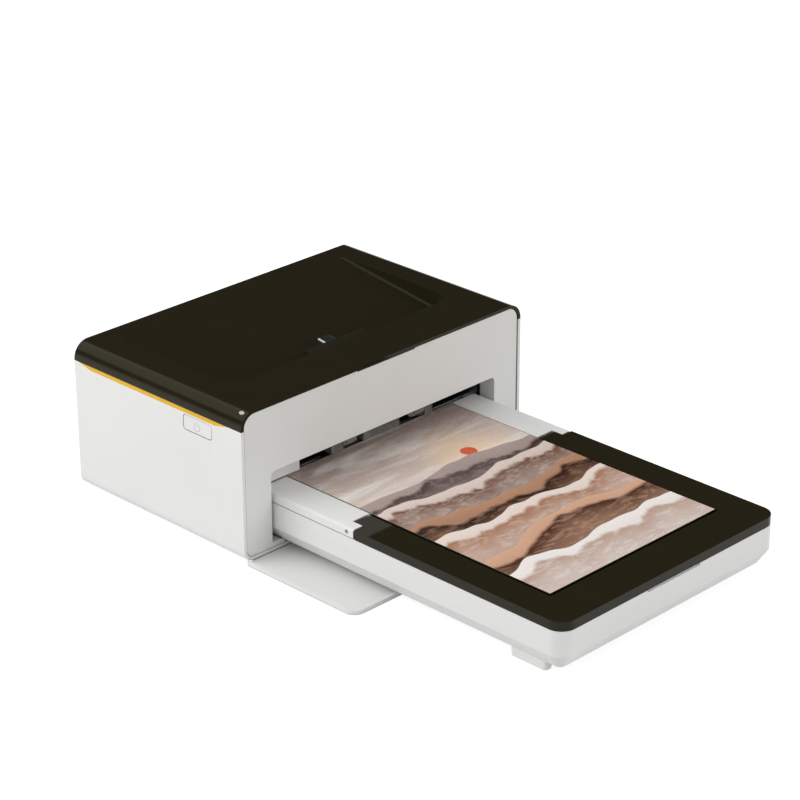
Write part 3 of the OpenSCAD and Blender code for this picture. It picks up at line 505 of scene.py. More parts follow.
def marked_button(name, base, sizes):
    """The shell's satin plastic with the usual ring and bar of a power button, printed grey on its face."""
    f = Finish(name)
    low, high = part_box("power_button")
    x, y, z = f.axes()
    half, edge, gap, face = sizes.mark_line / 2, 0.00006, 0.00092, 0.0004
    across = f.math("SUBTRACT", y, (low.y + high.y) / 2 + 0.0003)
    up = f.math("SUBTRACT", z, (low.z + high.z) / 2 - 0.0002)
    off_ring = f.math("ABSOLUTE", f.math("SUBTRACT", f.distance(across, up), sizes.mark_ring))
    ring = f.between(off_ring, half, half + edge, 1.0, 0.0)
    beside = f.math("ABSOLUTE", across)
    above = f.math("GREATER_THAN", up, 0.0)
    opened = f.math("MULTIPLY", f.between(beside, gap, gap + edge, 1.0, 0.0), above)
    tall = f.math("MULTIPLY", above, f.math("LESS_THAN", up, sizes.mark_ring * 1.4))
    bar = f.math("MULTIPLY", f.between(beside, half, half + edge, 1.0, 0.0), tall)
    mark = f.math("MAXIMUM", f.math("MULTIPLY", ring, f.math("SUBTRACT", 1.0, opened)), bar)
    shown = f.math("MULTIPLY", mark, f.math("LESS_THAN", x, low.x + face))
    plastic = f.tones(f.noise(22, 3, 0.55), base, 0.965, 1.02)
    return f.close(
        Base_Color=f.blend(shown, plastic, srgb(192, 192, 190)),
        Roughness=f.wander(f.noise(160, 3), 0.37, 0.48),
        Specular_IOR_Level=0.36,
        Normal=f.bump(f.noise(3200, 2, 0.6), 0.12, 0.00004, f.bump(shown, 0.3, 0.0001)),
    )


# The print's own flat coordinates run from 0 to 1 on its face, and from 2 to 3 along its back and edges.
SHEET_LAYER = "flat_sheet"
# For each ridge of dunes, from the far one to the near one: its height on the picture, how often it
# waves, its seed, how high it waves, and its colours in the shade and in the light.
RIDGES = (
    (0.70, 2.4, 3.1, 0.10, srgb(74, 52, 48), srgb(178, 158, 152)),
    (0.62, 3.1, 7.7, 0.12, srgb(124, 88, 72), srgb(230, 212, 202)),
    (0.50, 1.9, 1.4, 0.20, srgb(52, 33, 26), srgb(190, 142, 112)),
    (0.40, 2.6, 9.2, 0.18, srgb(176, 130, 104), srgb(243, 228, 218)),
    (0.27, 1.6, 5.5, 0.22, srgb(84, 52, 38), srgb(222, 176, 146)),
    (0.15, 2.1, 2.8, 0.20, srgb(196, 168, 152), srgb(250, 244, 240)),
)


def hazy_sky(f, u, v, wide, long):
    """The picture's sky: thin haze, and a small low sun with its glow."""
    haze = f.noise(1, 5, 0.6, f.stretch(14, 70, 1), 0.5)
    sky = f.blend(f.between(v, 0.6, 1.0), srgb(236, 218, 206), srgb(166, 146, 138))
    sky = f.blend(f.between(haze, 0.46, 0.62, 0.0, 0.8), sky, srgb(246, 240, 236))
    sun_u, sun_v, sun_radius = 0.7, 0.735, 0.0036
    off_u = f.math("MULTIPLY", f.math("SUBTRACT", u, sun_u), wide)
    off_v = f.math("MULTIPLY", f.math("SUBTRACT", v, sun_v), long)
    away = f.distance(off_u, off_v)
    glow = f.between(away, 0.003, 0.03, 0.75, 0.0, smooth=True)
    sun = f.between(away, sun_radius, sun_radius + 0.0003, 1.0, 0.0)
    return f.blend(sun, f.blend(glow, sky, srgb(248, 214, 180)), srgb(226, 84, 40))


def wavy(f, u, rate, seed, amount, detail=2.0):
    """A ridge line's rise and fall along the picture's width."""
    spot = f.fed("ShaderNodeCombineXYZ", f.math("MULTIPLY", u, rate), seed)
    return f.math("MULTIPLY", f.math("SUBTRACT", f.noise(1, detail, 0.5, spot), 0.5), amount)


def dune(f, u, v, behind, rise, rate, seed, amount, shade, lit):
    """A ridge before what lies behind it: light along its crest, a shaded lee below and ripples of sand."""
    under = f.math("SUBTRACT", f.math("ADD", wavy(f, u, rate, seed, amount), rise), v)
    foot = f.math("ADD", wavy(f, u, 1.9 * rate, seed + 4.3, 0.16, 3.0), 0.035)
    lee = f.math("SUBTRACT", under, foot)
    ripple = f.noise(1, 4, 0.62, f.stretch(70 + 20 * rate, 330, 1, (seed, seed, 0)), 1.1)
    slope = f.blend(f.between(under, 0.0, 0.15), lit, [(a + b) / 2 for a, b in zip(lit, shade)])
    shaded = f.math("MULTIPLY", f.between(lee, 0.0, 0.014), f.between(lee, 0.02, 0.11, 1.0, 0.35))
    sand = f.blend(f.between(ripple, 0.5, 0.62, 0.0, 0.3), f.blend(shaded, slope, shade), lit)
    return f.blend(f.between(under, -0.001, 0.002), behind, sand)


def dune_picture(name):
    """A made-up view on glossy paper: dunes in cream, blush and brown under a hazy sky with a low sun, with
    painted shade on its edges.
    """
    f = Finish(name)
    low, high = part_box("print_sheet")
    wide, long = high.x - low.x, high.y - low.y
    spread = f.node("ShaderNodeUVMap", uv_map=SHEET_LAYER).outputs["UV"]
    u, v, _ = f.axes(spread)
    flat = f.node("ShaderNodeMapping")
    f.feed(flat.inputs["Vector"], spread)
    flat.inputs["Scale"].default_value = (wide, long, 1)
    flat.inputs["Location"].default_value = (low.x, low.y, high.z)
    f.place = flat.outputs[0]
    picture = hazy_sky(f, u, v, wide, long)
    for ridge in RIDGES:
        picture = dune(f, u, v, picture, *ridge)
    # Painted shade: the print's back and cut edges take a mid grey, and the picture darkens where it lies
    # close to the bed's walls.
    face = f.math("LESS_THAN", v, 1.5)
    return f.close(
        Base_Color=f.painted_seam_shade(f.blend(face, srgb(120, 117, 112), picture), 0.0004, 0.3),
        Roughness=f.wander(f.noise(260, 2), 0.24, 0.3),
        Specular_IOR_Level=0.3,
        Normal=f.bump(f.noise(2400, 2), 0.05, 0.00003),
    )


# ---------------------------------------------------------------- piece tools


SAME_POINT = 0.000001  # corners closer than this are one corner
LEVEL = math.radians(0.4)  # faces that meet at less than this are one face


def dress(names, material):
    """Gives CAD nodes a finish on their objects' own material slots."""
    for name in names.split():
        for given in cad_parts[name].material_slots:
            given.link = "OBJECT"
            given.material = material


def soften(names, radius, merge=True):
    """Rounds the sharp edges of CAD nodes with modifiers, so that they catch the light."""
    for name in names.split():
        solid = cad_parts[name]
        solid.modifiers.new("joined", "WELD").merge_threshold = SAME_POINT
        if merge:
            flat = solid.modifiers.new("flat", "DECIMATE")
            flat.decimate_type = "DISSOLVE"
            flat.angle_limit = LEVEL
        edge = solid.modifiers.new("soft_edges", "BEVEL")
        edge.width = radius
        edge.segments = 2
        edge.limit_method = "ANGLE"
        edge.angle_limit = math.radians(32)
        edge.miter_outer = "MITER_ARC"
        solid.modifiers.new("even", "WEIGHTED_NORMAL").keep_sharp = True


def bare(name, form):
    """An object with the form's mesh, linked to the scene."""
    mesh = bpy.data.meshes.new(name)
    form.to_mesh(mesh)
    form.free()
    made = bpy.data.objects.new(name, mesh)
    bpy.context.scene.collection.objects.link(made)
    return made


def block(low, high):
    """A box between two corners, as a bare object for a cut or a join."""
    form = bmesh.new()
    made = bmesh.ops.create_cube(form, size=1)
    for vert in made["verts"]:
        vert.co = [a + (b - a) * (c + 0.5) for a, b, c in zip(low, high, vert.co)]
    return bare("block", form)


def rod(x0, x1, y, z, radius):
    """A round bar along X, as a bare object for a cut or a join."""
    form = bmesh.new()
    bmesh.ops.create_cone(form, cap_ends=True, segments=40, radius1=radius, radius2=radius, depth=x1 - x0)
    laid = Matrix.Translation(((x0 + x1) / 2, y, z)) @ Matrix.Rotation(math.radians(90), 4, "Y")
    bmesh.ops.transform(form, matrix=laid, verts=form.verts)
    return bare("rod", form)


def twin(node):
    """A bare copy of a CAD node, for a piece that takes its place."""
    form = bmesh.new()
    form.from_mesh(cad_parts[node].data)
    form.transform(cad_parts[node].matrix_world)
    bmesh.ops.remove_doubles(form, verts=form.verts, dist=SAME_POINT)
    return bare(node, form)


def skin(form, near, far):
    """Faces between two closed rings of corners."""
    for k in range(len(near)):
        n = (k + 1) % len(near)
        form.faces.new((near[k], near[n], far[n], far[k]))


def carved(name, joined, cut, radius_of, material, steps=3):
    """Solids joined and cut. Each sharp edge gets the radius that radius_of gives for its two ends."""
    first, *others = joined
    for solid, operation in [(o, "UNION") for o in others] + [(o, "DIFFERENCE") for o in cut]:
        change = first.modifiers.new("change", "BOOLEAN")
        change.operation, change.object, change.solver = operation, solid, "EXACT"
    form = bmesh.new()
    form.from_object(first, bpy.context.evaluated_depsgraph_get())
    for solid in (*joined, *cut):
        bpy.data.meshes.remove(solid.data)
    bmesh.ops.remove_doubles(form, verts=form.verts, dist=SAME_POINT)
    bmesh.ops.dissolve_limit(form, angle_limit=LEVEL, verts=form.verts, edges=form.edges)
    weight = form.edges.layers.float.new("bevel_weight_edge")
    sharp = [e for e in form.edges if len(e.link_faces) == 2 and e.calc_face_angle() > math.radians(28)]
    radii = {e: radius_of(*(v.co for v in e.verts)) for e in sharp}
    largest = max(radii.values())
    for edge, radius in radii.items():
        edge[weight] = radius / largest
        edge.smooth = radius > 0
    for face in form.faces:
        face.smooth = True
    piece = bare(name, form)
    piece.data.materials.append(material)
    rounded = piece.modifiers.new("soft_edges", "BEVEL")
    rounded.width, rounded.segments, rounded.limit_method = largest, steps, "WEIGHT"
    rounded.miter_outer = "MITER_ARC"
    piece.modifiers.new("even", "WEIGHTED_NORMAL").keep_sharp = True
    return piece


def stands_for(piece, node, body):
    """Puts a carved piece in a CAD node's place: hides the node and puts the piece on the node's body."""
    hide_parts(node)
    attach(piece, body)


def settings():
    """The scene's printer settings: colours, sizes and stage."""
    scene = bpy.context.scene
    return scene.printer_colours, scene.printer_sizes, scene.printer_stage


# ---------------------------------------------------------------- operators


class PRINTER_OT_housing(Operator):
    """Finishes the shell, the panels, the doors, the strips, the feet and the screws"""

    bl_idname = "photo_printer.housing"
    bl_label = "Housing"

    def execute(self, context):
        colours, sizes, _ = settings()
        shell = satin_plastic("satin_shell", colours.shell)
        dress("lower_shell rear_panel cartridge_door", shell)
        self.panel(satin_plastic("satin_fascia", colours.fascia, 0.4, 0.1))
        self.flap(shell)
        strip = satin_plastic("satin_accent", colours.accent, 0.38, 0.08)
        dress("accent_strip_left accent_strip_right", strip)
        dress("rubber_feet", rubber("rubber_foot", srgb(43, 43, 43)))
        dress("shell_screws chassis_screws", turned_metal("plated_screw", srgb(176, 178, 182), 0.34))
        dress("door_hinge_pins lid_pins", turned_metal("hinge_pin_steel", srgb(138, 140, 143), 0.4))
        soften("lower_shell cartridge_door rubber_feet", sizes.shell_edge)
        soften("rear_panel", sizes.shell_edge, merge=False)
        return {"FINISHED"}

    def panel(self, plastic):
        """The front panel, with a narrow shadow gap between its sides and the shell's rim."""
        low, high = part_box("front_fascia")
        gap, reach, edge = 0.00035, 0.016, 0.0003
        foot, under = 0.0002, 0.0001
        middle = (low.x + high.x) / 2
        face = twin("front_fascia")
        for vert in face.data.vertices:
            across = vert.co.x - middle
            share = (abs(across) - (high.x - middle) + reach) / reach
            vert.co.x -= math.copysign(gap * max(0.0, share), across)
            if vert.co.z < low.z + foot:
                vert.co.z = low.z - under
        piece = carved("front_panel", [face], [], lambda a, b: edge, plastic, 2)
        stands_for(piece, "front_fascia", "body")

    def flap(self, plastic):
        """The fold-down door: a full round on its outer rim and a thin lip under the body's front edge."""
        low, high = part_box("front_door")
        plate, pin_radius, pin_room = 0.0019, 0.0005, 0.0003
        top = low.z + plate
        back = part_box("door_hinge_pins")[1].y - pin_radius + pin_room
        knuckles, ends, lip, lap, thick = 0.048, 0.0048, 0.0022, 0.0006, 0.0002
        spans = ((knuckles, high.x - ends), (low.x + ends, -knuckles))
        # Under the body's edge the lips take the shell's painted seam shade, which draws a dark line at the
        # hinge.
        lips = [block((x0, back - lap, low.z), (x1, back + lip, low.z + thick)) for x0, x1 in spans]

        def edge(a, b):
            """The rim's full round, a finer edge within it and the finest on the hinge and the lips."""
            tight = 0.00005
            if max(a.z, b.z) > top + tight or min(a.z, b.z) < top - tight:
                return 0.0002
            return 0.0007 if all(self.on_rim(p, low, high) for p in (a, b)) else 0.0003

        piece = carved("front_flap", [twin("front_door"), *lips], [], edge, plastic, 4)
        stands_for(piece, "front_door", "front_door")

    def on_rim(self, point, low, high):
        """Whether a point of the door lies along its sides or its front, or on the round of a corner."""
        near, radius, slack = 0.0012, 0.005, 0.0004
        x, y = min(point.x - low.x, high.x - point.x), point.y - low.y
        if min(x, y) < near:
            return True
        return x < radius and y < radius and math.hypot(radius - x, radius - y) > radius - slack


class PRINTER_OT_cover(Operator):
    """Finishes the glossy top cover and the dock with its cradle and plug"""

    bl_idname = "photo_printer.cover"
    bl_label = "Cover and dock"

    def execute(self, context):
        colours, sizes, _ = settings()
        low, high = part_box("top_cover")

        def edge(a, b):
            """Softened ends, a fine rim on the recess and a rounded foot under its walls."""
            if max(a.y, b.y) < low.y + 0.001:
                return 0.0005
            if min(a.y, b.y) > high.y - 0.001:
                return 0.0004
            return 0.0003 if max(a.z, b.z) > high.z - 0.0003 else 0.0006

        over = block((low.x, low.y, high.z), (high.x, high.y, high.z + 0.01))
        joined = [twin("top_cover"), *(self.foot_fillet(side, low, high) for side in (-1, 1))]
        cover = carved("gloss_top", joined, [over], edge, lacquered_plastic("lacquered_cover", colours.cover))
        stands_for(cover, "top_cover", "body")
        # Painted highlight: a light grey dome on the cover's front left shoulder.
        self.highlight_dome(low, high)
        dress("dock_cradle", dark_plastic("cradle_plastic", srgb(33, 30, 22)))
        dress("dock_plug", drawn_metal("plug_shell", srgb(214, 215, 218), 0.22))
        soften("dock_cradle", sizes.fine_edge)
        return {"FINISHED"}

    def foot_fillet(self, side, low, high):
        """The hollow round along the foot of the dock's side wall, as a bar for a join."""
        radius, steps, sunk = 0.0016, 6, 0.0003
        # The dock's half width, its front and back behind the cover's front, its depth, and the bar's start.
        half, front, back, deep, start = 0.0655, 0.0247, 0.097, 0.0096, 0.010
        start_z = high.z - deep * (back - front - start) / (back - front)
        turns = [math.pi / 2 * k / steps for k in range(steps + 1)]
        arc = [(half - radius + radius * math.sin(t), radius - radius * math.cos(t)) for t in turns]
        outline = [*arc, (half + sunk, radius), (half + sunk, -sunk), (half - radius, -sunk)]
        form = bmesh.new()
        ends = []
        for y, z in ((low.y + front + start, start_z), (low.y + back, high.z)):
            ends.append([form.verts.new((side * x, y, z + rise)) for x, rise in outline])
        skin(form, *ends)
        form.faces.new(reversed(ends[0]))
        form.faces.new(ends[1])
        bmesh.ops.recalc_face_normals(form, faces=form.faces)
        return bare("foot_fillet", form)

    def highlight_dome(self, low, high):
        """Painted highlight: a light grey oval dome, shaped as a small lens with a low dome and a flat foot,
        on the cover's front left shoulder where the cover shows a highlight.
        """
        half_long, half_wide, dome, foot_depth = 0.0014, 0.0009, 0.0002, 0.0006
        shoulder, from_front, tilt = 0.0075, 0.0032, math.radians(32)
        rings, sides = 6, 32
        turns = [2 * math.pi * k / sides for k in range(sides)]
        form = bmesh.new()
        loops = []
        for step in range(rings):
            lean = math.pi / 2 * step / rings
            share, rise = math.cos(lean), dome * math.sin(lean)
            oval = [(half_wide * share * math.cos(t), half_long * share * math.sin(t)) for t in turns]
            loops.append([form.verts.new((x, y, rise)) for x, y in oval])
        peak = form.verts.new((0, 0, dome))
        foot = [form.verts.new((v.co.x, v.co.y, -foot_depth)) for v in loops[0]]
        for lower, upper in zip([foot, *loops], loops):
            skin(form, lower, upper)
        for k in range(sides):
            form.faces.new((loops[-1][k], loops[-1][(k + 1) % sides], peak))
        form.faces.new(reversed(foot))
        for face in form.faces:
            face.smooth = True
        left = low.x + shoulder - shoulder * math.sin(tilt)
        up = high.z - shoulder + shoulder * math.cos(tilt)
        seat = Matrix.Translation((left, low.y + from_front, up)) @ Matrix.Rotation(-tilt, 4, "Y")
        bmesh.ops.transform(form, matrix=seat, verts=form.verts)
        lens = bare("painted_highlight_dome", form)
        # Its light grey stands for the highlight on the cover's shoulder: painted highlight.
        lens.data.materials.append(highlight_dome_plastic("highlight_dome_plastic", srgb(186, 184, 176)))
        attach(lens, "body")


class PRINTER_OT_button(Operator):
    """Finishes the power button with its mark"""

    bl_idname = "photo_printer.button"
    bl_label = "Power button"

    def execute(self, context):
        colours, sizes, _ = settings()
        dress("power_button", marked_button("marked_button", colours.shell, sizes))
        soften("power_button", sizes.fine_edge)
        return {"FINISHED"}


class PRINTER_OT_tray(Operator):
    """Finishes the paper tray, its lid, lift plate, springs and paper"""

    bl_idname = "photo_printer.tray"
    bl_label = "Paper tray"

    def execute(self, context):
        colours, sizes, _ = settings()
        shell = satin_plastic("satin_tray", colours.shell, 0.4)
        dress("tray_base tray_feet", satin_plastic("satin_tray_base", colours.shell, 0.4, with_seam_shade=False))
        self.rear_cover(shell)
        self.lid(lacquered_plastic("lacquered_lid", colours.cover, 0.035), sizes)
        dress("lift_plate", plated_sheet("lift_plate_zinc", srgb(196, 199, 202)))
        self.springs(drawn_metal("spring_steel", srgb(178, 180, 184), 0.28))
        dress("paper_stack", coated_paper("paper_stack_sheets", colours.paper))
        soften("tray_base tray_feet", sizes.shell_edge)
        return {"FINISHED"}

    def springs(self, steel):
        """The two leaf springs, divided in steps along their length."""
        low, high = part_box("lift_springs")
        leaves = twin("lift_springs")
        leaves.name = "leaf_springs"
        form = bmesh.new()
        form.from_mesh(leaves.data)
        steps, across = 20, (0, 1, 0)
        for step in range(1, steps):
            cut = (0, low.y + (high.y - low.y) * step / steps, 0)
            everything = [*form.verts, *form.edges, *form.faces]
            bmesh.ops.bisect_plane(form, geom=everything, plane_co=cut, plane_no=across)
        form.to_mesh(leaves.data)
        form.free()
        leaves.data.materials.append(steel)
        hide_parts("lift_springs")
        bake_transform(leaves)

    def rear_cover(self, shell):
        """The white cover at the back: soft shoulders, a seam over the tray and a groove beside the print."""
        low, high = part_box("tray_rear_cover")
        bed_low, bed_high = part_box("print_sheet")
        seam, depth, groove, sunk, over = 0.0004, 0.0011, 0.0011, 0.0009, 0.001
        front, back = low.y - over, high.y + over
        cuts = []
        # The seam and the grooves show dark through the painted seam shade of the shell's finish.
        for x in (low.x, high.x):
            cuts.append(block((x - depth, front, low.z - over), (x + depth, back, low.z + seam)))
        for x in (bed_low.x - 0.0006, bed_high.x - 0.0005):
            cuts.append(block((x, front, bed_low.z - sunk), (x + groove, back, high.z + over)))

        def edge(a, b):
            """Round along the two long top edges, and sharp elsewhere."""
            tight = 0.00002
            along = all(min(p.x - low.x, high.x - p.x) < tight for p in (a, b))
            return 0.0013 if along and min(a.z, b.z) > high.z - tight else 0.0

        piece = carved("rear_cover", [twin("tray_rear_cover")], cuts, edge, shell, 4)
        stands_for(piece, "tray_rear_cover", "tray")

    def lid(self, gloss, sizes):
        """The glossy lid: a soft edge round its top, crisp edges and a narrow moat round the print's bed."""
        _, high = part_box("tray_lid")
        bed_low, bed_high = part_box("print_sheet")

        def edge(a, b):
            """The top's radius, a finer one lower down and none round the bed."""
            slack = 0.002
            bed = (bed_low.x - slack, bed_high.x + slack, bed_low.y - slack)
            if all(bed[0] < p.x < bed[1] and p.y > bed[2] for p in (a, b)):
                return 0.0
            return sizes.lid_edge if min(a.z, b.z) > high.z - 0.0006 else 0.0003

        deep, wide, wall, near, over = 0.001, 0.0021, 0.0006, 0.0014, 0.001
        low_x, high_x, low_y = bed_low.x - near, bed_high.x + wall, bed_low.y - near
        floor, top = bed_low.z - 0.00005 - deep, high.z + over
        moat = [block((x, low_y, floor), (x + wide, high.y + over, top)) for x in (low_x, high_x - wide)]
        moat.append(block((low_x, low_y, floor), (high_x, low_y + wide, top)))
        piece = carved("gloss_lid", [twin("tray_lid")], moat, edge, gloss)
        stands_for(piece, "tray_lid", "tray_lid")


class PRINTER_OT_picture(Operator):
    """Makes the finished print, in steps along its length"""

    bl_idname = "photo_printer.picture"
    bl_label = "Picture print"

    def execute(self, context):
        _, sizes, _ = settings()
        pushed = Vector((0.00045, 0.00045, 0))
        low, high = (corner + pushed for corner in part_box("print_sheet"))
        wide, long = high.x - low.x, high.y - low.y
        outline = ((low.x, low.z), (high.x, low.z), (high.x, high.z), (low.x, high.z))
        form = bmesh.new()
        rows = []
        for step in range(sizes.sheet_steps + 1):
            y = low.y + long * step / sizes.sheet_steps
            rows.append([form.verts.new((x, y, z)) for x, z in outline])
        for near, far in zip(rows, rows[1:]):
            skin(form, near, far)
        form.faces.new(reversed(rows[0]))
        form.faces.new(rows[-1])
        bmesh.ops.recalc_face_normals(form, faces=form.faces)
        spread = form.loops.layers.uv.new(SHEET_LAYER)
        for face in form.faces:
            back = 2.0 if min(v.co.z for v in face.verts) < high.z - 0.00004 else 0.0
            for loop in face.loops:
                at = loop.vert.co
                loop[spread].uv = ((at.x - low.x) / wide, (at.y - low.y) / long + back)
        sheet = bare("picture_print", form)
        sheet.data.materials.append(dune_picture("printed_dunes"))
        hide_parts("print_sheet")
        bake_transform(sheet)
        return {"FINISHED"}


class PRINTER_OT_paper_path(Operator):
    """Finishes the rollers, shafts and guides that the paper passes"""

    bl_idname = "photo_printer.paper_path"
    bl_label = "Paper path"

    def execute(self, context):
        colours, _, _ = settings()
        dress("feed_ramp paper_guide", dark_plastic("guide_plastic", colours.guide))
        self.exit_guide(dark_plastic("exit_guide_plastic", colours.exit_guide))
        dress("exit_rollers", rubber("exit_rubber", colours.roller))
        dress("pickup_roller pinch_roller platen_roller", rubber("drive_rubber", srgb(62, 63, 64)))
        shafts = "exit_shaft pickup_shaft platen_shaft feed_roller idler_axle"
        dress(shafts, turned_metal("ground_shaft", srgb(206, 208, 211)))
        return {"FINISHED"}

    def exit_guide(self, plastic):
        """The guide over the print: a rail, three blocks with ribs along them and a hood over each roller."""
        low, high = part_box("exit_guide")
        rollers_low, rollers_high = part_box("exit_rollers")
        shaft_low, shaft_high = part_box("exit_shaft")
        middle = (rollers_low.x + rollers_high.x) / 2
        shaft_y, shaft_z = (shaft_low.y + shaft_high.y) / 2, (shaft_low.z + shaft_high.z) / 2
        foot, back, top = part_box("print_sheet")[1].z + 0.0004, high.y - 0.0026, high.z - 0.001
        rail, shaft_room = 0.0036, 0.001
        joined = [block((low.x, high.y - rail, shaft_z + shaft_room), (high.x, high.y, high.z))]
        cuts = []
        ribs, pitch, lowest, groove, depth, over = 6, 0.0009, 0.00055, 0.0004, 0.00045, 0.001
        # Where each block starts and ends beside the rollers' middle, and where its ribs start.
        blocks = ((-0.031, -0.024, -0.0295), (-0.012, 0.0096, -0.0082), (0.0254, 0.030, 0.026))
        for start, end, ribbed in blocks:
            joined.append(block((middle + start, low.y, foot), (middle + end, back, top)))
            for step in range(ribs):
                z = foot + lowest + pitch * step
                far = (middle + end + 0.0005, low.y + depth, z + groove)
                cuts.append(block((middle + ribbed, low.y - over, z), far))
        roller_in, roller_out, beside = 0.018, rollers_high.x - middle, 0.0006
        hood_y, hood, roof = rollers_low.y - 0.0007, 0.0005, 0.0012
        for side in (-1, 1):
            near, far = sorted((side * (roller_in - beside), side * (roller_out + beside)))
            x0, x1 = middle + near, middle + far
            joined.append(block((x0, hood_y, shaft_z - shaft_room), (x1, hood_y + hood, high.z)))
            joined.append(block((x0, hood_y, high.z - roof), (x1, high.y - 0.001, high.z)))
        cuts.append(rod(low.x, high.x, shaft_y, shaft_z, (shaft_high.z - shaft_low.z) / 2 + 0.0002))
        piece = carved("exit_guide_ribs", joined, cuts, lambda a, b: 0.0001, plastic, 2)
        stands_for(piece, "exit_guide", "body")


class PRINTER_OT_gears(Operator):
    """Finishes the gear train and the motor"""

    bl_idname = "photo_printer.gears"
    bl_label = "Gears and motor"

    def execute(self, context):
        colours, _, _ = settings()
        dress("pickup_gear feed_gear idler_gear takeup_drive", acetal("acetal_gear", colours.gear))
        dress("feed_motor", turned_metal("motor_can", srgb(168, 171, 176), 0.3))
        dress("motor_pinion", turned_metal("turned_brass", srgb(222, 186, 112), 0.26))
        return {"FINISHED"}


class PRINTER_OT_print_unit(Operator):
    """Finishes the print head, its heat sink and the ribbon cartridge"""

    bl_idname = "photo_printer.print_unit"
    bl_label = "Print unit"

    def execute(self, context):
        colours, _, _ = settings()
        dress("print_head", glazed_ceramic("head_ceramic", srgb(226, 219, 204)))
        dress("head_heatsink", drawn_metal("extruded_sink", srgb(214, 216, 219)))
        dress("ribbon_case", dark_plastic("cartridge_plastic", colours.guide))
        dress("supply_spool takeup_spool", acetal("acetal_spool", colours.gear))
        dress("supply_roll takeup_roll ribbon_film", dye_film("dye_ribbon", colours.ribbon))
        return {"FINISHED"}


class PRINTER_OT_electronics(Operator):
    """Finishes the circuit boards, their parts and the sockets"""

    bl_idname = "photo_printer.electronics"
    bl_label = "Electronics"

    def execute(self, context):
        colours, _, _ = settings()
        dress("main_board button_board", circuit_board("printed_board", colours.board))
        dress("board_parts", board_components("board_components"))
        dress("dc_inlet", power_inlet("inlet_plastic", srgb(38, 38, 40)))
        dress("usb_port", drawn_metal("port_shell", srgb(214, 215, 218), 0.24))
        return {"FINISHED"}


class PRINTER_OT_chassis(Operator):
    """Finishes the side plates and tie bars"""

    bl_idname = "photo_printer.chassis"
    bl_label = "Chassis"

    def execute(self, context):
        dress("chassis_plate_left chassis_plate_right", plated_sheet("chassis_zinc", srgb(190, 194, 198)))
        dress("chassis_tie_bars", turned_metal("tie_bar_steel", srgb(198, 200, 204)))
        return {"FINISHED"}


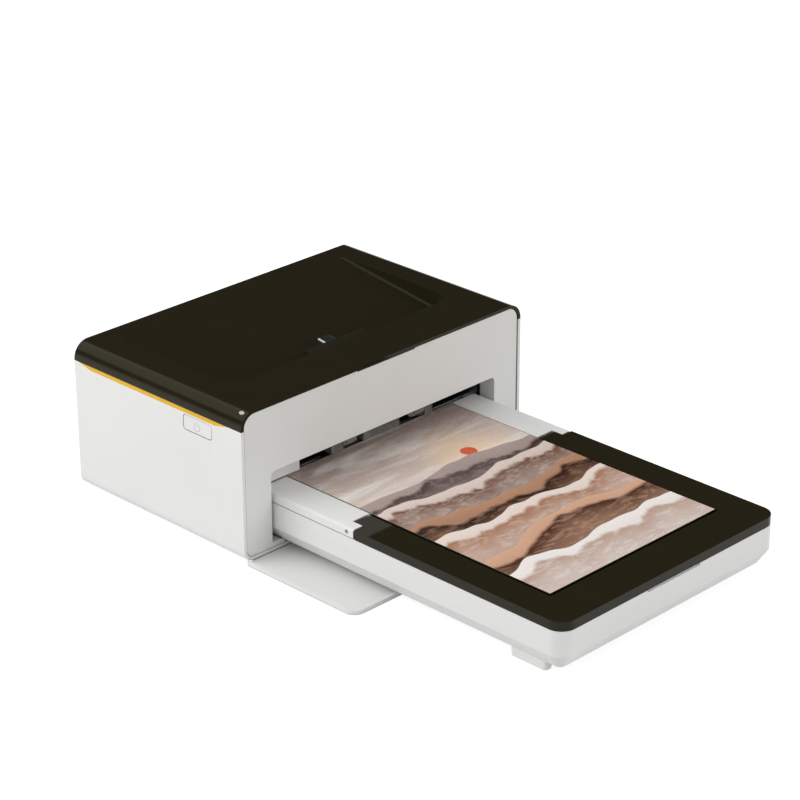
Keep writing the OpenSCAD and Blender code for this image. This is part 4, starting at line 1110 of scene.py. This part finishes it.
class PRINTER_OT_stage(Operator):
    """Sets the pale floor, the soft studio light and the camera"""

    bl_idname = "photo_printer.stage"
    bl_label = "Stage"

    def execute(self, context):
        _, _, stage = settings()
        self.floor(stage)
        self.sky(stage)
        self.lamp("key_light", (-0.98, 0.66, 0.99), (0, 0, 0.02), 1.1, stage.key_power)
        self.lamp("front_light", (0.35, -1.5, 0.75), (0, 0, 0.02), 1.0, stage.fill_power)
        self.camera(stage)
        context.scene.view_settings.view_transform = "Standard"
        return {"FINISHED"}

    def seen(self, f):
        """1 for rays that come straight from the camera or by way of a mirror or glass, else 0."""
        path = f.node("ShaderNodeLightPath").outputs
        mirrored = f.math("MAXIMUM", path["Is Glossy Ray"], path["Is Transmission Ray"])
        return f.math("MAXIMUM", path["Is Camera Ray"], mirrored)

    def floor(self, stage):
        """A pale floor that shows white and keeps a soft shadow."""
        half = stage.floor_size / 2
        corners = [(-half, -half, 0), (half, -half, 0), (half, half, 0), (-half, half, 0)]
        mesh = bpy.data.meshes.new("studio_floor")
        mesh.from_pydata(corners, [], [(0, 1, 2, 3)])
        f = Finish("pale_floor")
        grey = f.tones(f.noise(3, 2), (0.7, 0.7, 0.7), 0.99, 1.01)
        matt = f.shader("ShaderNodeBsdfDiffuse", Color=grey)
        shade = f.shader("ShaderNodeBsdfDiffuse", Color=(0.3, 0.3, 0.3))
        glow = f.shader("ShaderNodeEmission", Color=(1, 1, 1), Strength=0.86)
        lit = f.fed("ShaderNodeAddShader", shade, glow)
        mesh.materials.append(f.surface(f.fed("ShaderNodeMixShader", self.seen(f), matt, lit)))
        floor = bpy.data.objects.new("studio_floor", mesh)
        bpy.context.scene.collection.objects.link(floor)

    def sky(self, stage):
        """Even light from all sides: white when seen directly, and mirrored a dark room with a high window."""
        f = Finish("studio_sky", world=True)
        across, _, height = f.axes()
        left = f.between(across, -0.74, -0.6, smooth=True)
        right = f.between(across, 0.1, 0.24, 1.0, 0.0, smooth=True)
        sill = f.between(height, 0.36, 0.46, smooth=True)
        window = f.math("MULTIPLY", f.math("MULTIPLY", left, right), sill)
        horizon = f.between(height, 0.02, 0.16, 0.9, 0.02, smooth=True)
        mirrored = f.math("ADD", f.math("MULTIPLY", window, 1.1), horizon)
        level = f.math("MAXIMUM", mirrored, f.node("ShaderNodeLightPath").outputs["Is Camera Ray"])
        strength = f.between(height, 0.0, 1.0, stage.sky_level * 1.12, stage.sky_level * 0.92)
        even = f.shader("ShaderNodeBackground", Color=(1, 1, 1), Strength=strength)
        tint = f.blend(window, (1, 1, 1), (1, 0.96, 0.8))
        shown = f.shader("ShaderNodeBackground", Color=tint, Strength=level)
        bpy.context.scene.world = f.surface(f.fed("ShaderNodeMixShader", self.seen(f), even, shown))

    def lamp(self, name, place, target, size, power):
        """A square soft lamp that faces a point."""
        data = bpy.data.lights.new(name, "AREA")
        data.shape = "SQUARE"
        data.size = size
        data.energy = power
        lamp = bpy.data.objects.new(name, data)
        lamp.location = place
        lamp.visible_camera = False
        lamp.visible_glossy = False
        lamp.rotation_mode = "QUATERNION"
        lamp.rotation_quaternion = (Vector(target) - Vector(place)).to_track_quat("-Z", "Y")
        bpy.context.scene.collection.objects.link(lamp)

    def camera(self, stage):
        """The camera at the photograph's place and angle."""
        data = bpy.data.cameras.new("camera")
        data.lens = stage.lens
        data.sensor_width = 36
        data.clip_start, data.clip_end = 0.05, 60
        camera = bpy.data.objects.new("camera", data)
        a, e = stage.azimuth, stage.elevation
        back = Vector((math.sin(a) * math.cos(e), -math.cos(a) * math.cos(e), math.sin(e)))
        right = Vector((math.cos(a), math.sin(a), 0))
        up = back.cross(right)
        turned_right = right * math.cos(stage.roll) - up * math.sin(stage.roll)
        turned_up = right * math.sin(stage.roll) + up * math.cos(stage.roll)
        turn = Matrix((turned_right, turned_up, back)).transposed().to_4x4()
        camera.matrix_world = Matrix.Translation((stage.camera_x, stage.camera_y, stage.camera_z)) @ turn
        bpy.context.scene.collection.objects.link(camera)
        bpy.context.scene.camera = camera


class PRINTER_PT_pieces(Panel):
    """Lists the printer's pieces, their settings and the stage"""

    bl_idname = "PRINTER_PT_pieces"
    bl_label = "Photo printer"
    bl_space_type = "VIEW_3D"
    bl_region_type = "UI"
    bl_category = "Photo printer"

    def draw(self, context):
        layout = self.layout
        for made in OPERATORS:
            layout.operator(made.bl_idname)
        for group in settings():
            box = layout.box()
            for name in group.bl_rna.properties.keys():
                if name not in {"rna_type", "name"}:
                    box.prop(group, name)


OPERATORS = (
    PRINTER_OT_housing,
    PRINTER_OT_cover,
    PRINTER_OT_button,
    PRINTER_OT_tray,
    PRINTER_OT_picture,
    PRINTER_OT_paper_path,
    PRINTER_OT_gears,
    PRINTER_OT_print_unit,
    PRINTER_OT_electronics,
    PRINTER_OT_chassis,
    PRINTER_OT_stage,
)
GROUPS = {"printer_colours": PrinterColours, "printer_sizes": PrinterSizes, "printer_stage": StageSettings}


def register():
    for made in (*GROUPS.values(), *OPERATORS, PRINTER_PT_pieces):
        bpy.utils.register_class(made)
    for name, group in GROUPS.items():
        setattr(bpy.types.Scene, name, PointerProperty(type=group))


def unregister():
    for name in GROUPS:
        delattr(bpy.types.Scene, name)
    for made in reversed((*GROUPS.values(), *OPERATORS, PRINTER_PT_pieces)):
        bpy.utils.unregister_class(made)


def main():
    register()
    bpy.ops.photo_printer.stage()
    bpy.ops.photo_printer.housing()
    bpy.ops.photo_printer.cover()
    bpy.ops.photo_printer.button()
    bpy.ops.photo_printer.tray()
    bpy.ops.photo_printer.picture()
    bpy.ops.photo_printer.paper_path()
    bpy.ops.photo_printer.gears()
    bpy.ops.photo_printer.print_unit()
    bpy.ops.photo_printer.electronics()
    bpy.ops.photo_printer.chassis()


if __name__ == "__main__":
    main()
